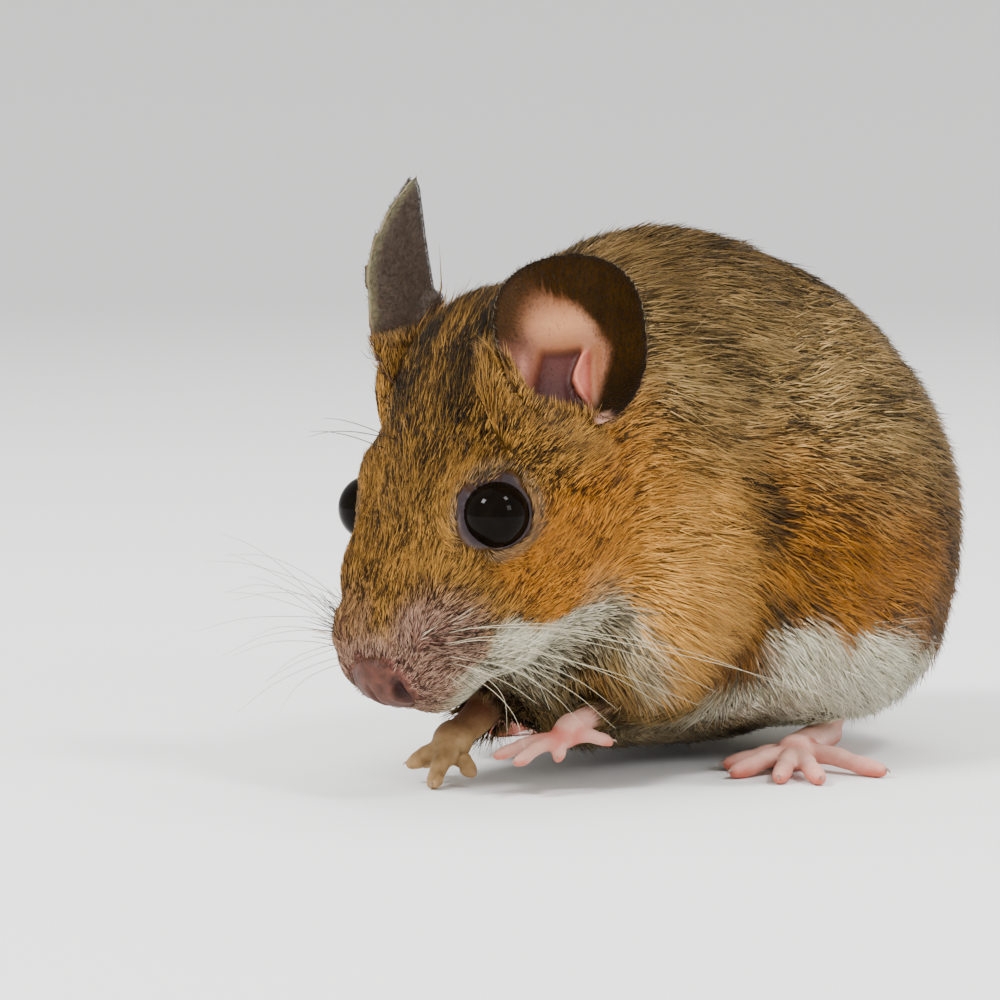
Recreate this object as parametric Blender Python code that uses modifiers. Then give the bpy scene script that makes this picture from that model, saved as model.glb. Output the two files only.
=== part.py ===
"""A wood mouse, life size, crouched with its head bowed and turned a little to its right.

The mouse faces -Y with its left side at +X, and stands on the plane z = 0. The solids give the
outline of the coat. They are made in millimetres and brought to metres as each one is finished.
"""

import math

import bmesh
import bpy
from mathutils import Matrix, Vector

MM = 0.001  # one millimetre in the file's metres
GAP = 0.3  # clear space between neighbouring pieces
OBJECT_NAME = "field_mouse"

# Head. Places in the head are (back from the nose tip, up, to the animal's left).
NOSE_TIP = Vector((-2.0, -28.5, 6.8))
HEAD_PITCH = math.radians(47)  # nose down
HEAD_YAW = math.radians(6)  # towards the animal's right
EYE_PLACE = (12.7, 4.4, 6.15)
EYE_RADIUS = 2.3

# Each mass is an ellipsoid: centre, half sizes and the tilt of its back end upwards in degrees.
HEAD_MASSES = {
    "skull": ((20.0, 3.6, 0.0), (8.6, 7.4, 8.2), 18),
    "poll": ((24.0, 6.2, 0.0), (5.0, 5.4, 6.4), 24),
    "forehead": ((13.5, 3.0, 0.0), (7.0, 4.9, 6.2), 24),
    "bridge": ((8.0, 1.6, 0.0), (6.4, 3.6, 4.6), 24),
    "muzzle": ((4.0, -0.2, 0.0), (4.0, 3.3, 4.2), 0),
    "chin": ((6.8, -3.2, 0.0), (5.0, 2.4, 3.4), 8),
    "nose_pad": ((1.0, 0.3, 0.0), (1.3, 1.7, 1.8), 0),
}
PAIRED_HEAD_MASSES = {
    "whisker_pad": ((4.6, 0.0, 3.3), (3.5, 3.0, 2.3), 6),
    "maxilla": ((8.8, 1.9, 3.8), (4.8, 3.7, 2.6), 20),
    "jaw": ((10.8, -1.9, 4.0), (6.0, 3.9, 3.8), 6),
    "cheek": ((15.6, -1.2, 5.0), (6.2, 5.4, 4.8), 6),
    "brow": ((13.8, 5.0, 4.4), (4.2, 3.0, 2.6), 20),
    "ear_root": ((21.5, 6.4, 5.4), (4.4, 4.0, 3.6), 20),
}

# Trunk, in the animal's own standing axes (left, back, up).
TRUNK_MASSES = {
    "back_arch": ((0.0, -1.0, 22.6), (12.4, 18.0, 15.2), 0),
    "flanks": ((0.0, 0.5, 14.8), (15.2, 19.0, 13.4), 0),
    "rump": ((0.0, 10.0, 18.6), (14.0, 12.4, 15.4), 0),
    "withers": ((0.0, -10.0, 21.0), (10.8, 10.5, 12.5), 0),
    "chest": ((0.0, -8.5, 11.5), (10.0, 9.0, 8.5), 0),
    "nape": ((-0.4, -16.0, 24.0), (8.8, 6.8, 8.6), 0),
}
PAIRED_TRUNK_MASSES = {
    "haunch": ((9.8, 6.8, 15.6), (7.0, 11.6, 12.6), 8),
    "shoulder": ((8.0, -10.5, 13.4), (4.6, 6.6, 8.2), -12),
    "neck_side": ((6.4, -14.0, 18.5), (4.6, 5.5, 7.5), 0),
}

BODY_STEP = 0.55  # grid on which the masses are melted together
BODY_SMOOTHING = 4
BODY_TRIANGLES = 4850
COARSENED = {"trunk": 0.42, "neck": 0.5, "thigh": 0.42, "foreleg": 0.5}  # under the plain coat
MELT_UNIT = 2.0  # millimetres to a unit while melting, as its ellipsoids stop at 20 units
MELT_LEVEL = 0.6
MELT_STIFFNESS = 7.0  # the stiffer, the narrower the blend between masses

# Where the body is parted: the head in its own axes, the others in the standing axes.
HEAD_CUT = ((9.0, 5.4, 0.0), (18.5, 13.2, 14.0))
FORELEG_CUT = ((10.5, -9.5, 10.5), (6.0, 6.4, 8.4))
THIGH_CUT = ((13.5, 6.5, 14.5), (7.4, 12.2, 12.4))
NECK_CUT = (0.0, -12.0, 20.0)
NECK_CUT_TILT = -8

# Ears: a sheet curled about its long axis, inside an oval. Places and ways are in the head.
EAR_HALF_WIDTH = 5.1
EAR_THICKNESS = 0.6
EAR_SET_BACK = 1.8  # how far the midline lies behind the root
EAR_RINGS = 5
EAR_SPOKES = 22
# root, way it points, way it opens, half length, depth of the curl, sideways shift
LEFT_EAR = ((19.6, 7.0, 10.2), (0.78, 0.48, -0.40), (-0.41, 0.57, 0.72), 6.1, 3.0, 0.7)
RIGHT_EAR = ((21.6, 6.8, -7.2), (0.63, 0.75, -0.04), (-0.41, 0.57, -0.72), 7.0, 3.7, 0.0)

# Feet. A toe is a row of (left, back, up) points with radii; the floor is at 0.
FOOT_STEP = 0.2
FOOT_SMOOTHING = 3
FOOT_TRIANGLES = 380
HIND_BALL = (12.0, -0.5, 1.25)
HIND_HEEL = (6.4, 11.3, 0.95)
HIND_TOE_TIPS = ((8.7, -3.3), (11.2, -6.0), (15.0, -6.2), (17.3, -4.9), (18.4, 0.6))
HIND_TOE_RADIUS = 0.76
RIGHT_HIND_BEHIND = 5.5  # the right hind foot stands further back than the left
HIND_ANKLE = ((6.6, 11.0, 2.0), (8.4, 9.5, 6.0), (10.0, 7.5, 10.0))
HIND_ANKLE_RADII = (1.3, 1.7, 2.6)

RIGHT_PALM = (-2.7, -19.9, 3.0)
RIGHT_ARM = ((-2.7, -19.4, 3.3), (-3.2, -16.4, 4.4), (-5.0, -11.0, 6.6))
RIGHT_FINGER_TIPS = ((-4.6, -22.0, 1.5), (-1.6, -23.2, 0.5), (-0.4, -20.9, 0.55), (-5.6, -19.6, 1.2))
LEFT_PALM = (5.9, -17.6, 4.3)
LEFT_ARM = ((5.9, -17.0, 4.6), (6.4, -13.6, 5.6), (8.0, -9.5, 8.5))
LEFT_FINGER_TIPS = ((4.0, -22.9, 2.9), (5.6, -22.8, 2.6), (6.6, -19.9, 2.7), (7.6, -16.0, 3.4))
FINGER_RADIUS = 0.78
PALM_RADIUS = 1.5
ARM_RADII = (1.2, 1.35, 2.2)

# Tail: laid on the floor behind the body, and divided in three lengths.
TAIL_ROUTE = (
    (-0.5, 18.0, 9.0),
    (-1.6, 22.5, 5.0),
    (-5.0, 26.5, 1.9),
    (-12.0, 31.0, 1.35),
    (-21.0, 36.5, 1.15),
    (-30.5, 43.5, 0.95),
    (-39.0, 52.5, 0.8),
    (-47.0, 61.0, 0.65),
    (-56.5, 66.0, 0.45),
)
TAIL_RADII = (2.6, 2.1, 1.75, 1.5, 1.3, 1.1, 0.9, 0.75, 0.5)
TAIL_BREAKS = (3, 6)  # points of the route where one length ends and the next starts


def material(name, colour, roughness=0.9):
    """A Principled material with a colour (sRGB hex) and roughness."""
    made = bpy.data.materials.new(name)
    made.use_nodes = True
    shader = made.node_tree.nodes["Principled BSDF"]
    srgb = [int(colour[i : i + 2], 16) / 255 for i in (1, 3, 5)]
    linear = [c / 12.92 if c < 0.04045 else ((c + 0.055) / 1.055) ** 2.4 for c in srgb]
    shader.inputs["Base Color"].default_value = (*linear, 1)
    shader.inputs["Roughness"].default_value = roughness
    shader.inputs["Metallic"].default_value = 0
    return made


def new_collection(name, hidden=False):
    made = bpy.data.collections.new(name)
    made.hide_render = hidden
    bpy.context.scene.collection.children.link(made)
    return made


def head_axes():
    """Rotation whose columns are back, up and left of the head."""
    heading = Vector((-math.sin(HEAD_YAW), -math.cos(HEAD_YAW), 0))
    forward = heading * math.cos(HEAD_PITCH) - Vector((0, 0, math.sin(HEAD_PITCH)))
    up = heading * math.sin(HEAD_PITCH) + Vector((0, 0, math.cos(HEAD_PITCH)))
    left = Vector((math.cos(HEAD_YAW), -math.sin(HEAD_YAW), 0))
    return Matrix((-forward, up, left)).transposed()


def head_place(back, up, left):
    return NOSE_TIP + head_axes() @ Vector((back, up, left))


def object_of(name, mesh, collection):
    made = bpy.data.objects.new(name, mesh)
    collection.objects.link(made)
    return made


def add_mass(blend, centre, radii, turn):
    """Adds an ellipsoid whose own surface has the half sizes, turned by a matrix, to the blend."""
    mass = blend.elements.new(type="ELLIPSOID")
    mass.radius = 1
    mass.stiffness = MELT_STIFFNESS
    mass.co = Vector(centre) / MELT_UNIT
    mass.rotation = turn.to_quaternion()
    reach = math.sqrt(1 - (MELT_LEVEL / MELT_STIFFNESS) ** (1 / 3))
    mass.size_x, mass.size_y, mass.size_z = (r / reach / MELT_UNIT for r in radii)


def smooth_path(points, radii, steps):
    """Points and radii on a Catmull-Rom curve through the given ones."""
    points = [Vector(p) for p in points]
    ends = [2 * points[0] - points[1], *points, 2 * points[-1] - points[-2]]
    widths = [radii[0], *radii, radii[-1]]
    found = []
    for i in range(1, len(points)):
        for j in range(steps):
            t = j / steps
            found.append((catmull(ends[i - 1 : i + 3], t), catmull(widths[i - 1 : i + 3], t)))
    found.append((points[-1], radii[-1]))
    return found


def catmull(four, t):
    a, b, c, d = four
    return 0.5 * (
        2 * b + (c - a) * t + (2 * a - 5 * b + 4 * c - d) * t**2 + (3 * b - a - 3 * c + d) * t**3
    )


def tube_mesh(points, radii, steps=4, sides=2, round_start=True, round_end=True):
    """A tapered round tube from a bevelled curve, its ends rounded or flat."""
    route = smooth_path(points, radii, steps)
    data = bpy.data.curves.new("tube", "CURVE")
    data.dimensions = "3D"
    data.bevel_depth = 1.0
    data.bevel_resolution = sides
    data.use_fill_caps = True
    spline = data.splines.new("POLY")
    (start, start_radius), (end, end_radius) = route[0], route[-1]
    start_way = (start - route[1][0]).normalized()
    end_way = (end - route[-2][0]).normalized()
    # Rings past each end, ever smaller, make the rounded tips.
    rounding = ((0.5, 0.87), (0.85, 0.55), (1.0, 0.2))
    first = [(start + start_way * start_radius * a, start_radius * b) for a, b in rounding]
    last = [(end + end_way * end_radius * a, end_radius * b) for a, b in rounding]
    route = first[::-1] * round_start + route + last * round_end
    spline.points.add(len(route) - 1)
    for point, (place, radius) in zip(spline.points, route):
        point.co = (*place, 1)
        point.radius = radius
    return evaluated_mesh(object_of("tube", data, bpy.context.scene.collection))


def evaluated_mesh(obj):
    """The object's mesh with its modifiers applied and its doubles merged; the object is removed."""
    bpy.context.view_layer.update()
    graph = bpy.context.evaluated_depsgraph_get()
    mesh = bpy.data.meshes.new_from_object(obj.evaluated_get(graph))
    bpy.data.objects.remove(obj)
    shape = bmesh.new()
    shape.from_mesh(mesh)
    bmesh.ops.remove_doubles(shape, verts=shape.verts, dist=1e-4)
    bmesh.ops.recalc_face_normals(shape, faces=shape.faces)
    shape.to_mesh(mesh)
    shape.free()
    return mesh


def joined(meshes):
    """One mesh holding all of these."""
    shape = bmesh.new()
    for mesh in meshes:
        shape.from_mesh(mesh)
        bpy.data.meshes.remove(mesh)
    made = bpy.data.meshes.new("joined")
    shape.to_mesh(made)
    shape.free()
    return made


def melted(name, mesh, step, smoothing, triangles, collection):
    """The mesh made one even closed surface, smoothed, and thinned to about so many triangles."""
    obj = object_of(name, mesh, collection)
    remesh = obj.modifiers.new("even", "REMESH")
    remesh.mode = "VOXEL"
    remesh.voxel_size = step
    smooth = obj.modifiers.new("smooth", "SMOOTH")
    smooth.factor = 0.5
    smooth.iterations = smoothing
    mesh = evaluated_mesh(obj)
    obj = object_of(name, mesh, collection)
    thin = obj.modifiers.new("thin", "DECIMATE")
    mesh.calc_loop_triangles()
    thin.ratio = triangles / len(mesh.loop_triangles)
    thin.use_collapse_triangulate = True
    return object_of(name, evaluated_mesh(obj), collection)


def cut(obj, cutter, operation="DIFFERENCE"):
    """The object with a Boolean applied, under its own name."""
    change = obj.modifiers.new("cut", "BOOLEAN")
    change.operation = operation
    change.object = cutter
    name, collection = obj.name, obj.users_collection[0]
    return object_of(name, evaluated_mesh(obj), collection)


def coarsened(obj, share):
    """The object thinned to this share of its triangles."""
    thin = obj.modifiers.new("thin", "DECIMATE")
    thin.ratio = share
    thin.use_collapse_triangulate = True
    name, collection = obj.name, obj.users_collection[0]
    return object_of(name, evaluated_mesh(obj), collection)


def copy_of(obj, name):
    return object_of(name, obj.data.copy(), obj.users_collection[0])


def ellipsoid_cutter(centre, radii, turn, grow, cutters):
    """An ellipsoid grown by so much, to cut with."""
    shape = bmesh.new()
    grown = [r + grow for r in radii]
    place = Matrix.Translation(centre) @ turn.to_4x4() @ Matrix.Diagonal((*grown, 1))
    bmesh.ops.create_icosphere(shape, subdivisions=3, radius=1, matrix=place)
    return cutter_of(shape, cutters)


def box_cutter(centre, sides, turn, cutters):
    shape = bmesh.new()
    place = Matrix.Translation(centre) @ turn.to_4x4() @ Matrix.Diagonal((*sides, 1))
    bmesh.ops.create_cube(shape, size=1, matrix=place)
    return cutter_of(shape, cutters)


def cutter_of(shape, cutters):
    bmesh.ops.recalc_face_normals(shape, faces=shape.faces)
    mesh = bpy.data.meshes.new("cutter")
    shape.to_mesh(mesh)
    shape.free()
    made = object_of("cutter", mesh, cutters)
    made.hide_render = True
    made.display_type = "WIRE"
    return made


def swollen(obj, grow, cutters):
    """A copy of the object pushed out along its normals, to cut its neighbours with."""
    shape = bmesh.new()
    shape.from_mesh(obj.data)
    moves = [v.co + v.normal * grow for v in shape.verts]
    for vert, place in zip(shape.verts, moves):
        vert.co = place
    return cutter_of(shape, cutters)


def whole_body(collection):
    """Head, neck, trunk, haunches and shoulders as one form."""
    blend = bpy.data.metaballs.new("body")
    blend.threshold = MELT_LEVEL
    blend.resolution = BODY_STEP / MELT_UNIT
    blend.render_resolution = blend.resolution
    for place, radii, angle in HEAD_MASSES.values():
        add_mass(blend, head_place(*place), radii, head_turn(angle))
    for (back, up, left), radii, angle in PAIRED_HEAD_MASSES.values():
        for side in (1, -1):
            add_mass(blend, head_place(back, up, side * left), radii, head_turn(angle))
    for place, radii, angle in TRUNK_MASSES.values():
        add_mass(blend, place, radii, trunk_turn(angle))
    for (left, back, up), radii, angle in PAIRED_TRUNK_MASSES.values():
        for side in (1, -1):
            add_mass(blend, (side * left, back, up), radii, trunk_turn(angle))
    mesh = evaluated_mesh(object_of("body", blend, collection))
    mesh.transform(Matrix.Scale(MELT_UNIT, 4))
    return melted("body", mesh, BODY_STEP, BODY_SMOOTHING, BODY_TRIANGLES, collection)


def head_turn(angle):
    return head_axes() @ Matrix.Rotation(math.radians(angle), 3, "Z")


def trunk_turn(angle):
    return Matrix.Rotation(math.radians(angle), 3, "X")


def parted_body(whole, parts, cutters):
    """Parts the form into head, forelegs, thighs, neck and trunk with cuts GAP wide."""
    found = {}
    rest = whole

    def take(name, centre, radii, turn):
        nonlocal rest
        piece = copy_of(rest, name)
        piece = cut(piece, ellipsoid_cutter(centre, radii, turn, 0, cutters), "INTERSECT")
        rest = cut(rest, ellipsoid_cutter(centre, radii, turn, GAP, cutters))
        found[name] = piece

    centre, radii = HEAD_CUT
    take("head", head_place(*centre), radii, head_axes())
    for kind, ((left, back, up), radii) in (("foreleg", FORELEG_CUT), ("thigh", THIGH_CUT)):
        for side, sign in (("left", 1), ("right", -1)):
            take(f"{kind}_{side}", (sign * left, back, up), radii, trunk_turn(0))
    turn = trunk_turn(NECK_CUT_TILT)
    reach = 60.0
    centre = Vector(NECK_CUT) + turn @ Vector((0, -reach / 2, 0))
    neck = copy_of(rest, "neck")
    box = box_cutter(centre, (reach, reach, reach * 2), turn, cutters)
    found["neck"] = cut(neck, box, "INTERSECT")
    box = box_cutter(centre, (reach, reach + 2 * GAP, reach * 2), turn, cutters)
    trunk = cut(rest, box)
    trunk.name = "trunk"
    found["trunk"] = trunk
    return found


def eye_and_socket(name, left, found, parts, cutters):
    """An eyeball, and its socket in the head."""
    place = head_place(EYE_PLACE[0], EYE_PLACE[1], left)
    ball = (EYE_RADIUS,) * 3
    found["head"] = cut(found["head"], ellipsoid_cutter(place, ball, head_axes(), GAP, cutters))
    shape = bmesh.new()
    bmesh.ops.create_icosphere(
        shape, subdivisions=3, radius=EYE_RADIUS, matrix=Matrix.Translation(place)
    )
    mesh = bpy.data.meshes.new(name)
    shape.to_mesh(mesh)
    shape.free()
    found[name] = object_of(name, mesh, parts)


def ear(name, root, way, opening, half_length, depth, shift, parts):
    """A curled sheet: (x across, y along) inside an oval, standing forward by x squared."""
    axes = head_axes()
    long_axis = (axes @ Vector(way)).normalized()
    normal = axes @ Vector(opening)
    normal = (normal - long_axis * normal.dot(long_axis)).normalized()
    turn = Matrix((long_axis.cross(normal), long_axis, normal)).transposed()
    base = head_place(*root)
    shape = bmesh.new()
    centre = shape.verts.new(base + turn @ Vector((shift, half_length, -EAR_SET_BACK)))
    rings = []
    for i in range(1, EAR_RINGS + 1):
        share = i / EAR_RINGS
        ring = []
        for j in range(EAR_SPOKES):
            angle = 2 * math.pi * j / EAR_SPOKES
            x = share * math.cos(angle)
            y = half_length * (1 + share * math.sin(angle))
            place = (EAR_HALF_WIDTH * x + shift, y, depth * x**2 - EAR_SET_BACK)
            ring.append(shape.verts.new(base + turn @ Vector(place)))
        rings.append(ring)
    for j in range(EAR_SPOKES):
        k = (j + 1) % EAR_SPOKES
        shape.faces.new((centre, rings[0][j], rings[0][k]))
        for inner, outer in zip(rings, rings[1:]):
            shape.faces.new((inner[j], outer[j], outer[k], inner[k]))
    mesh = bpy.data.meshes.new(name)
    shape.to_mesh(mesh)
    shape.free()
    obj = object_of(name, mesh, parts)
    thick = obj.modifiers.new("thick", "SOLIDIFY")
    thick.thickness = EAR_THICKNESS
    thick.offset = 0
    return object_of(name, evaluated_mesh(obj), parts)


def toe(base, tip, radius, arch):
    """A toe from its base to its tip, raised at the knuckle and swollen at the pad."""
    base, tip = Vector(base), Vector(tip)
    knuckle = base.lerp(tip, 0.5) + Vector((0, 0, arch))
    pad = base.lerp(tip, 0.85)
    pad.z = tip.z + 0.1
    claw = tip + (tip - pad).normalized() * 0.45
    points = (base, knuckle, pad, tip, claw)
    return tube_mesh(points, (radius, radius * 0.95, radius * 1.02, radius * 0.8, radius * 0.35))


def hind_foot(name, side, parts):
    """Ankle, long sole and five toes, flat on the floor."""

    behind = RIGHT_HIND_BEHIND if side < 0 else 0.0

    def turned(place):
        return Vector((side * place[0], place[1] + behind, place[2]))

    ball = turned(HIND_BALL)
    heel = turned(HIND_HEEL)
    middle = ball.lerp(heel, 0.5) + Vector((0, 0, 0.15))
    pieces = [tube_mesh((ball, middle, heel), (1.35, 1.2, 1.15))]
    pieces.append(tube_mesh([turned(p) for p in HIND_ANKLE], HIND_ANKLE_RADII))
    across = (heel - ball).cross(Vector((0, 0, 1))).normalized() * side
    for i, tip in enumerate(HIND_TOE_TIPS):
        spread = (i - 2) / 2
        base = ball + across * (-1.25 * spread) + (heel - ball) * (0.05 + 0.09 * spread**2)
        base.z = 1.1
        end = turned((*tip, 0.5))
        pieces.append(toe(base, end, HIND_TOE_RADIUS, 0.35))
    return foot_of(name, pieces, parts)


def fore_foot(name, palm, arm, tips, parts):
    """Forearm, palm and four fingers."""
    palm = Vector(palm)
    pieces = [tube_mesh(arm, ARM_RADII)]
    middle = sum((Vector(t) for t in tips), Vector()) / len(tips)
    ball = palm.lerp(middle, 0.3)
    pieces.append(tube_mesh((palm, palm.lerp(ball, 0.5), ball), (PALM_RADIUS,) * 3))
    for tip in tips:
        base = ball.lerp(Vector(tip), 0.18)
        pieces.append(toe(base, tip, FINGER_RADIUS, 0.3))
    return foot_of(name, pieces, parts)


def foot_of(name, pieces, parts):
    mesh = joined(pieces)
    return melted(name, mesh, FOOT_STEP, FOOT_SMOOTHING, FOOT_TRIANGLES, parts)


def tail_lengths(parts):
    """The tail as three tubes, each GAP short of the next."""
    route = smooth_path(TAIL_ROUTE, TAIL_RADII, 4)
    breaks = [0, *(4 * i for i in TAIL_BREAKS), len(route) - 1]
    found = {}
    for name, start, end in zip(("tail_base", "tail_middle", "tail_tip"), breaks, breaks[1:]):
        stretch = route[start : end + 1]
        points = [p for p, _ in stretch]
        radii = [r for _, r in stretch]
        if start:
            points[0] = points[0] + (points[1] - points[0]).normalized() * GAP
        mesh = tube_mesh(points, radii, 1, 2, start == 0, end == breaks[-1])
        found[name] = object_of(name, mesh, parts)
    return found


def main():
    for old in list(bpy.data.objects):
        bpy.data.objects.remove(old)
    parts = new_collection(OBJECT_NAME)
    cutters = new_collection("cutters", hidden=True)
    whole = whole_body(parts)
    around = swollen(whole, GAP, cutters)
    feet = {
        "hindfoot_left": hind_foot("hindfoot_left", 1, parts),
        "hindfoot_right": hind_foot("hindfoot_right", -1, parts),
        "forepaw_left": fore_foot("forepaw_left", LEFT_PALM, LEFT_ARM, LEFT_FINGER_TIPS, parts),
        "forepaw_right": fore_foot(
            "forepaw_right", RIGHT_PALM, RIGHT_ARM, RIGHT_FINGER_TIPS, parts
        ),
    }
    ears = {
        "ear_left": ear("ear_left", *LEFT_EAR, parts),
        "ear_right": ear("ear_right", *RIGHT_EAR, parts),
    }
    outer = {**feet, **ears, **tail_lengths(parts)}
    floor = box_cutter((0, 0, -25), (300, 300, 50), trunk_turn(0), cutters)
    for name, piece in outer.items():
        piece = cut(piece, around)
        if not name.startswith("ear"):
            piece = cut(piece, floor)
        outer[name] = piece
    found = parted_body(whole, parts, cutters)
    for name, left in (("eye_left", EYE_PLACE[2]), ("eye_right", -EYE_PLACE[2])):
        eye_and_socket(name, left, found, parts, cutters)
    for name, piece in found.items():
        share = COARSENED.get(name.split("_")[0])
        if share:
            found[name] = coarsened(piece, share)
    found.update(outer)
    finish(found)


def finish(found):
    """Centres the footprint on the origin, brings all to metres and gives each piece its material."""
    places = [v.co for piece in found.values() for v in piece.data.vertices]
    middle_x = (min(p.x for p in places) + max(p.x for p in places)) / 2
    middle_y = (min(p.y for p in places) + max(p.y for p in places)) / 2
    centred = Matrix.Scale(MM, 4) @ Matrix.Translation((-middle_x, -middle_y, 0))
    coat = material("coat", "#8A6A3A")
    bare = material("bare_skin", "#D9B0A4", 0.6)
    hide = material("ear_skin", "#6B5340", 0.8)
    scales = material("tail_skin", "#7A6A5C", 0.7)
    glass = material("eye", "#060606", 0.05)
    kinds = {"eye": glass, "ear": hide, "tail": scales, "hindfoot": bare, "forepaw": bare}
    for name, piece in found.items():
        piece.data.transform(centred)
        piece.data.materials.clear()
        piece.data.materials.append(kinds.get(name.split("_")[0], coat))


main()
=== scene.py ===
import math

import bmesh
import bpy
import numpy as np
from bpy.props import FloatProperty, FloatVectorProperty, IntProperty, PointerProperty
from mathutils import Matrix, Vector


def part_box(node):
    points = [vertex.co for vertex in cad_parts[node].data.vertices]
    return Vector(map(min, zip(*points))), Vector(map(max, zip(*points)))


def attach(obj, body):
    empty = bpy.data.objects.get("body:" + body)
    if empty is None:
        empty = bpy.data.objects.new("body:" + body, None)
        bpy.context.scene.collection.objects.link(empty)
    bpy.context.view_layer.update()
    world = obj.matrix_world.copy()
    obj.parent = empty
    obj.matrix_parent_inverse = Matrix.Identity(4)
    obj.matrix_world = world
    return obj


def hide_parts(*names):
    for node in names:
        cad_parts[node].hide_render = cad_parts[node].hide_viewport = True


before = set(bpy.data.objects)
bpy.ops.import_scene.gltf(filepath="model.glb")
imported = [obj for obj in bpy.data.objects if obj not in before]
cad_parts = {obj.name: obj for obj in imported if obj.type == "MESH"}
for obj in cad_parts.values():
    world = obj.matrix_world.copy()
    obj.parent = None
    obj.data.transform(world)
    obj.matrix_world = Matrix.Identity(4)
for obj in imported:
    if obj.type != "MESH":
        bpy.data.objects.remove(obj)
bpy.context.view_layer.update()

bl_info = {
    "name": "Field mouse",
    "version": (1, 0, 0),
    "blender": (4, 5, 0),
    "location": "View3D > Sidebar > Field mouse",
    "description": "A life-size field mouse: skin, coat, eyes, claws, whiskers and stage",
    "category": "Object",
}

# Shapes are worked out in millimetres in the frame's own axes, and each mesh is written in metres.
MM = 0.001
TOP = np.array([0.0, 0.0, 1.0])


# ---------------------------------------------------------------- small helpers

def unit(v):
    """Each vector over its own length."""
    return v / np.maximum(np.linalg.norm(v, axis=-1, keepdims=True), 1e-9)


def dot(a, b):
    """The sum of the products of two rows, kept as a column."""
    return (a * b).sum(-1, keepdims=True)


def step(low, high, x):
    """0 below low, 1 above high, and a smooth S between."""
    t = np.clip((x - low) / (high - low), 0, 1)
    return t * t * (3 - 2 * t)


def bump(x, width):
    """A bell: 1 at 0, falling to about a third at width."""
    return np.exp(-((x / width) ** 2))


def mix(a, b, share):
    """a where the share is 0, b where it is 1, and in proportion between."""
    return a + (b - a) * share


def linear(colour):
    """An sRGB hex colour as linear red, green and blue."""
    srgb = np.array([int(colour[i : i + 2], 16) / 255 for i in (1, 3, 5)])
    return np.where(srgb < 0.04045, srgb / 12.92, ((srgb + 0.055) / 1.055) ** 2.4)


def mixed(first, last, share):
    """The first sRGB hex colour where the share is 0, and the last where it is 1."""
    return mix(linear(first), linear(last), share)


GRID_PRIMES = np.array((73856093, 19349663, 83492791))  # they scatter neighbouring corners
SEED_PRIME, STIRRING_PRIME = 2654435761, 1274126177


def noise(p, size, seed=0):
    """Smooth noise from 0 to 1: a hashed number at each corner of a grid, blended between."""
    q = np.asarray(p, float) / size + 1000.0
    cell = np.floor(q).astype(np.int64)
    f = q - cell
    f = f * f * (3 - 2 * f)
    total = np.zeros(len(q))
    for corner in np.ndindex(2, 2, 2):
        h = np.bitwise_xor.reduce((cell + corner) * GRID_PRIMES, axis=1) ^ (seed * SEED_PRIME)
        h = (h ^ (h >> 13)) * STIRRING_PRIME & 0x7FFFFFFF
        h = ((h ^ (h >> 16)) & 0xFFFF) / 0xFFFF
        total += h * np.where(corner, f, 1 - f).prod(axis=1)
    return total


def middle_of(node):
    """The middle of a CAD node's box, in millimetres."""
    low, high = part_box(node)
    return (np.array(low) + np.array(high)) / 2 / MM


# ---------------------------------------------------------------- the animal's axes

EYES = {"left": middle_of("eye_left"), "right": middle_of("eye_right")}
EYE_RADIUS = float((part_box("eye_left")[1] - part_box("eye_left")[0]).z / 2 / MM)
SIDES = {"left": 1, "right": -1}

HEAD_PITCH = math.radians(47)
LEFTWARD = unit(EYES["left"] - EYES["right"])
HEADING = np.array([LEFTWARD[1], -LEFTWARD[0], 0.0])
BACKWARD = -HEADING * math.cos(HEAD_PITCH) + TOP * math.sin(HEAD_PITCH)
UPWARD = HEADING * math.sin(HEAD_PITCH) + TOP * math.cos(HEAD_PITCH)
HEAD_AXES = np.array([BACKWARD, UPWARD, LEFTWARD])
EYE_BACK, EYE_UP = 12.7, 4.4  # of the eyes from the nose tip
NOSE = (EYES["left"] + EYES["right"]) / 2 - BACKWARD * EYE_BACK - UPWARD * EYE_UP
NOSE_IN_BODY = np.array([-2.0, -28.5, 6.8])  # in the standing axes (left, back, up)
BODY_ORIGIN = NOSE - NOSE_IN_BODY
# each eyeball sits a little off its node's middle, as it shows through the lids
EYES["left"] = EYES["left"] + (-0.23, -0.19, 0.04)
EYES["right"] = EYES["right"] + (-0.21, -0.17, -0.28)


def to_head(p):
    """(back from the nose tip, up, left) in the head."""
    return (p - NOSE) @ HEAD_AXES.T


def from_head(q):
    """The frame's place of (back, up, left) in the head."""
    return NOSE + np.asarray(q, float) @ HEAD_AXES


def to_body(p):
    """(left, back, up) in the standing axes."""
    return p - BODY_ORIGIN


def from_body(q):
    """The frame's place of (left, back, up) in the standing axes."""
    return np.asarray(q, float) + BODY_ORIGIN


HEAD_MIDDLE, HEAD_RADII = (9.0, 5.4, 0.0), (18.5, 13.2, 14.0)  # (back, up, left) in the head


def head_share(p):
    """1 in an ellipsoid round the head, 0 in the body, smooth across the neck."""
    h = (to_head(p) - HEAD_MIDDLE) / HEAD_RADII
    return 1 - step(0.82, 1.15, np.linalg.norm(h, axis=1))


# ---------------------------------------------------------------- meshes

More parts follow.
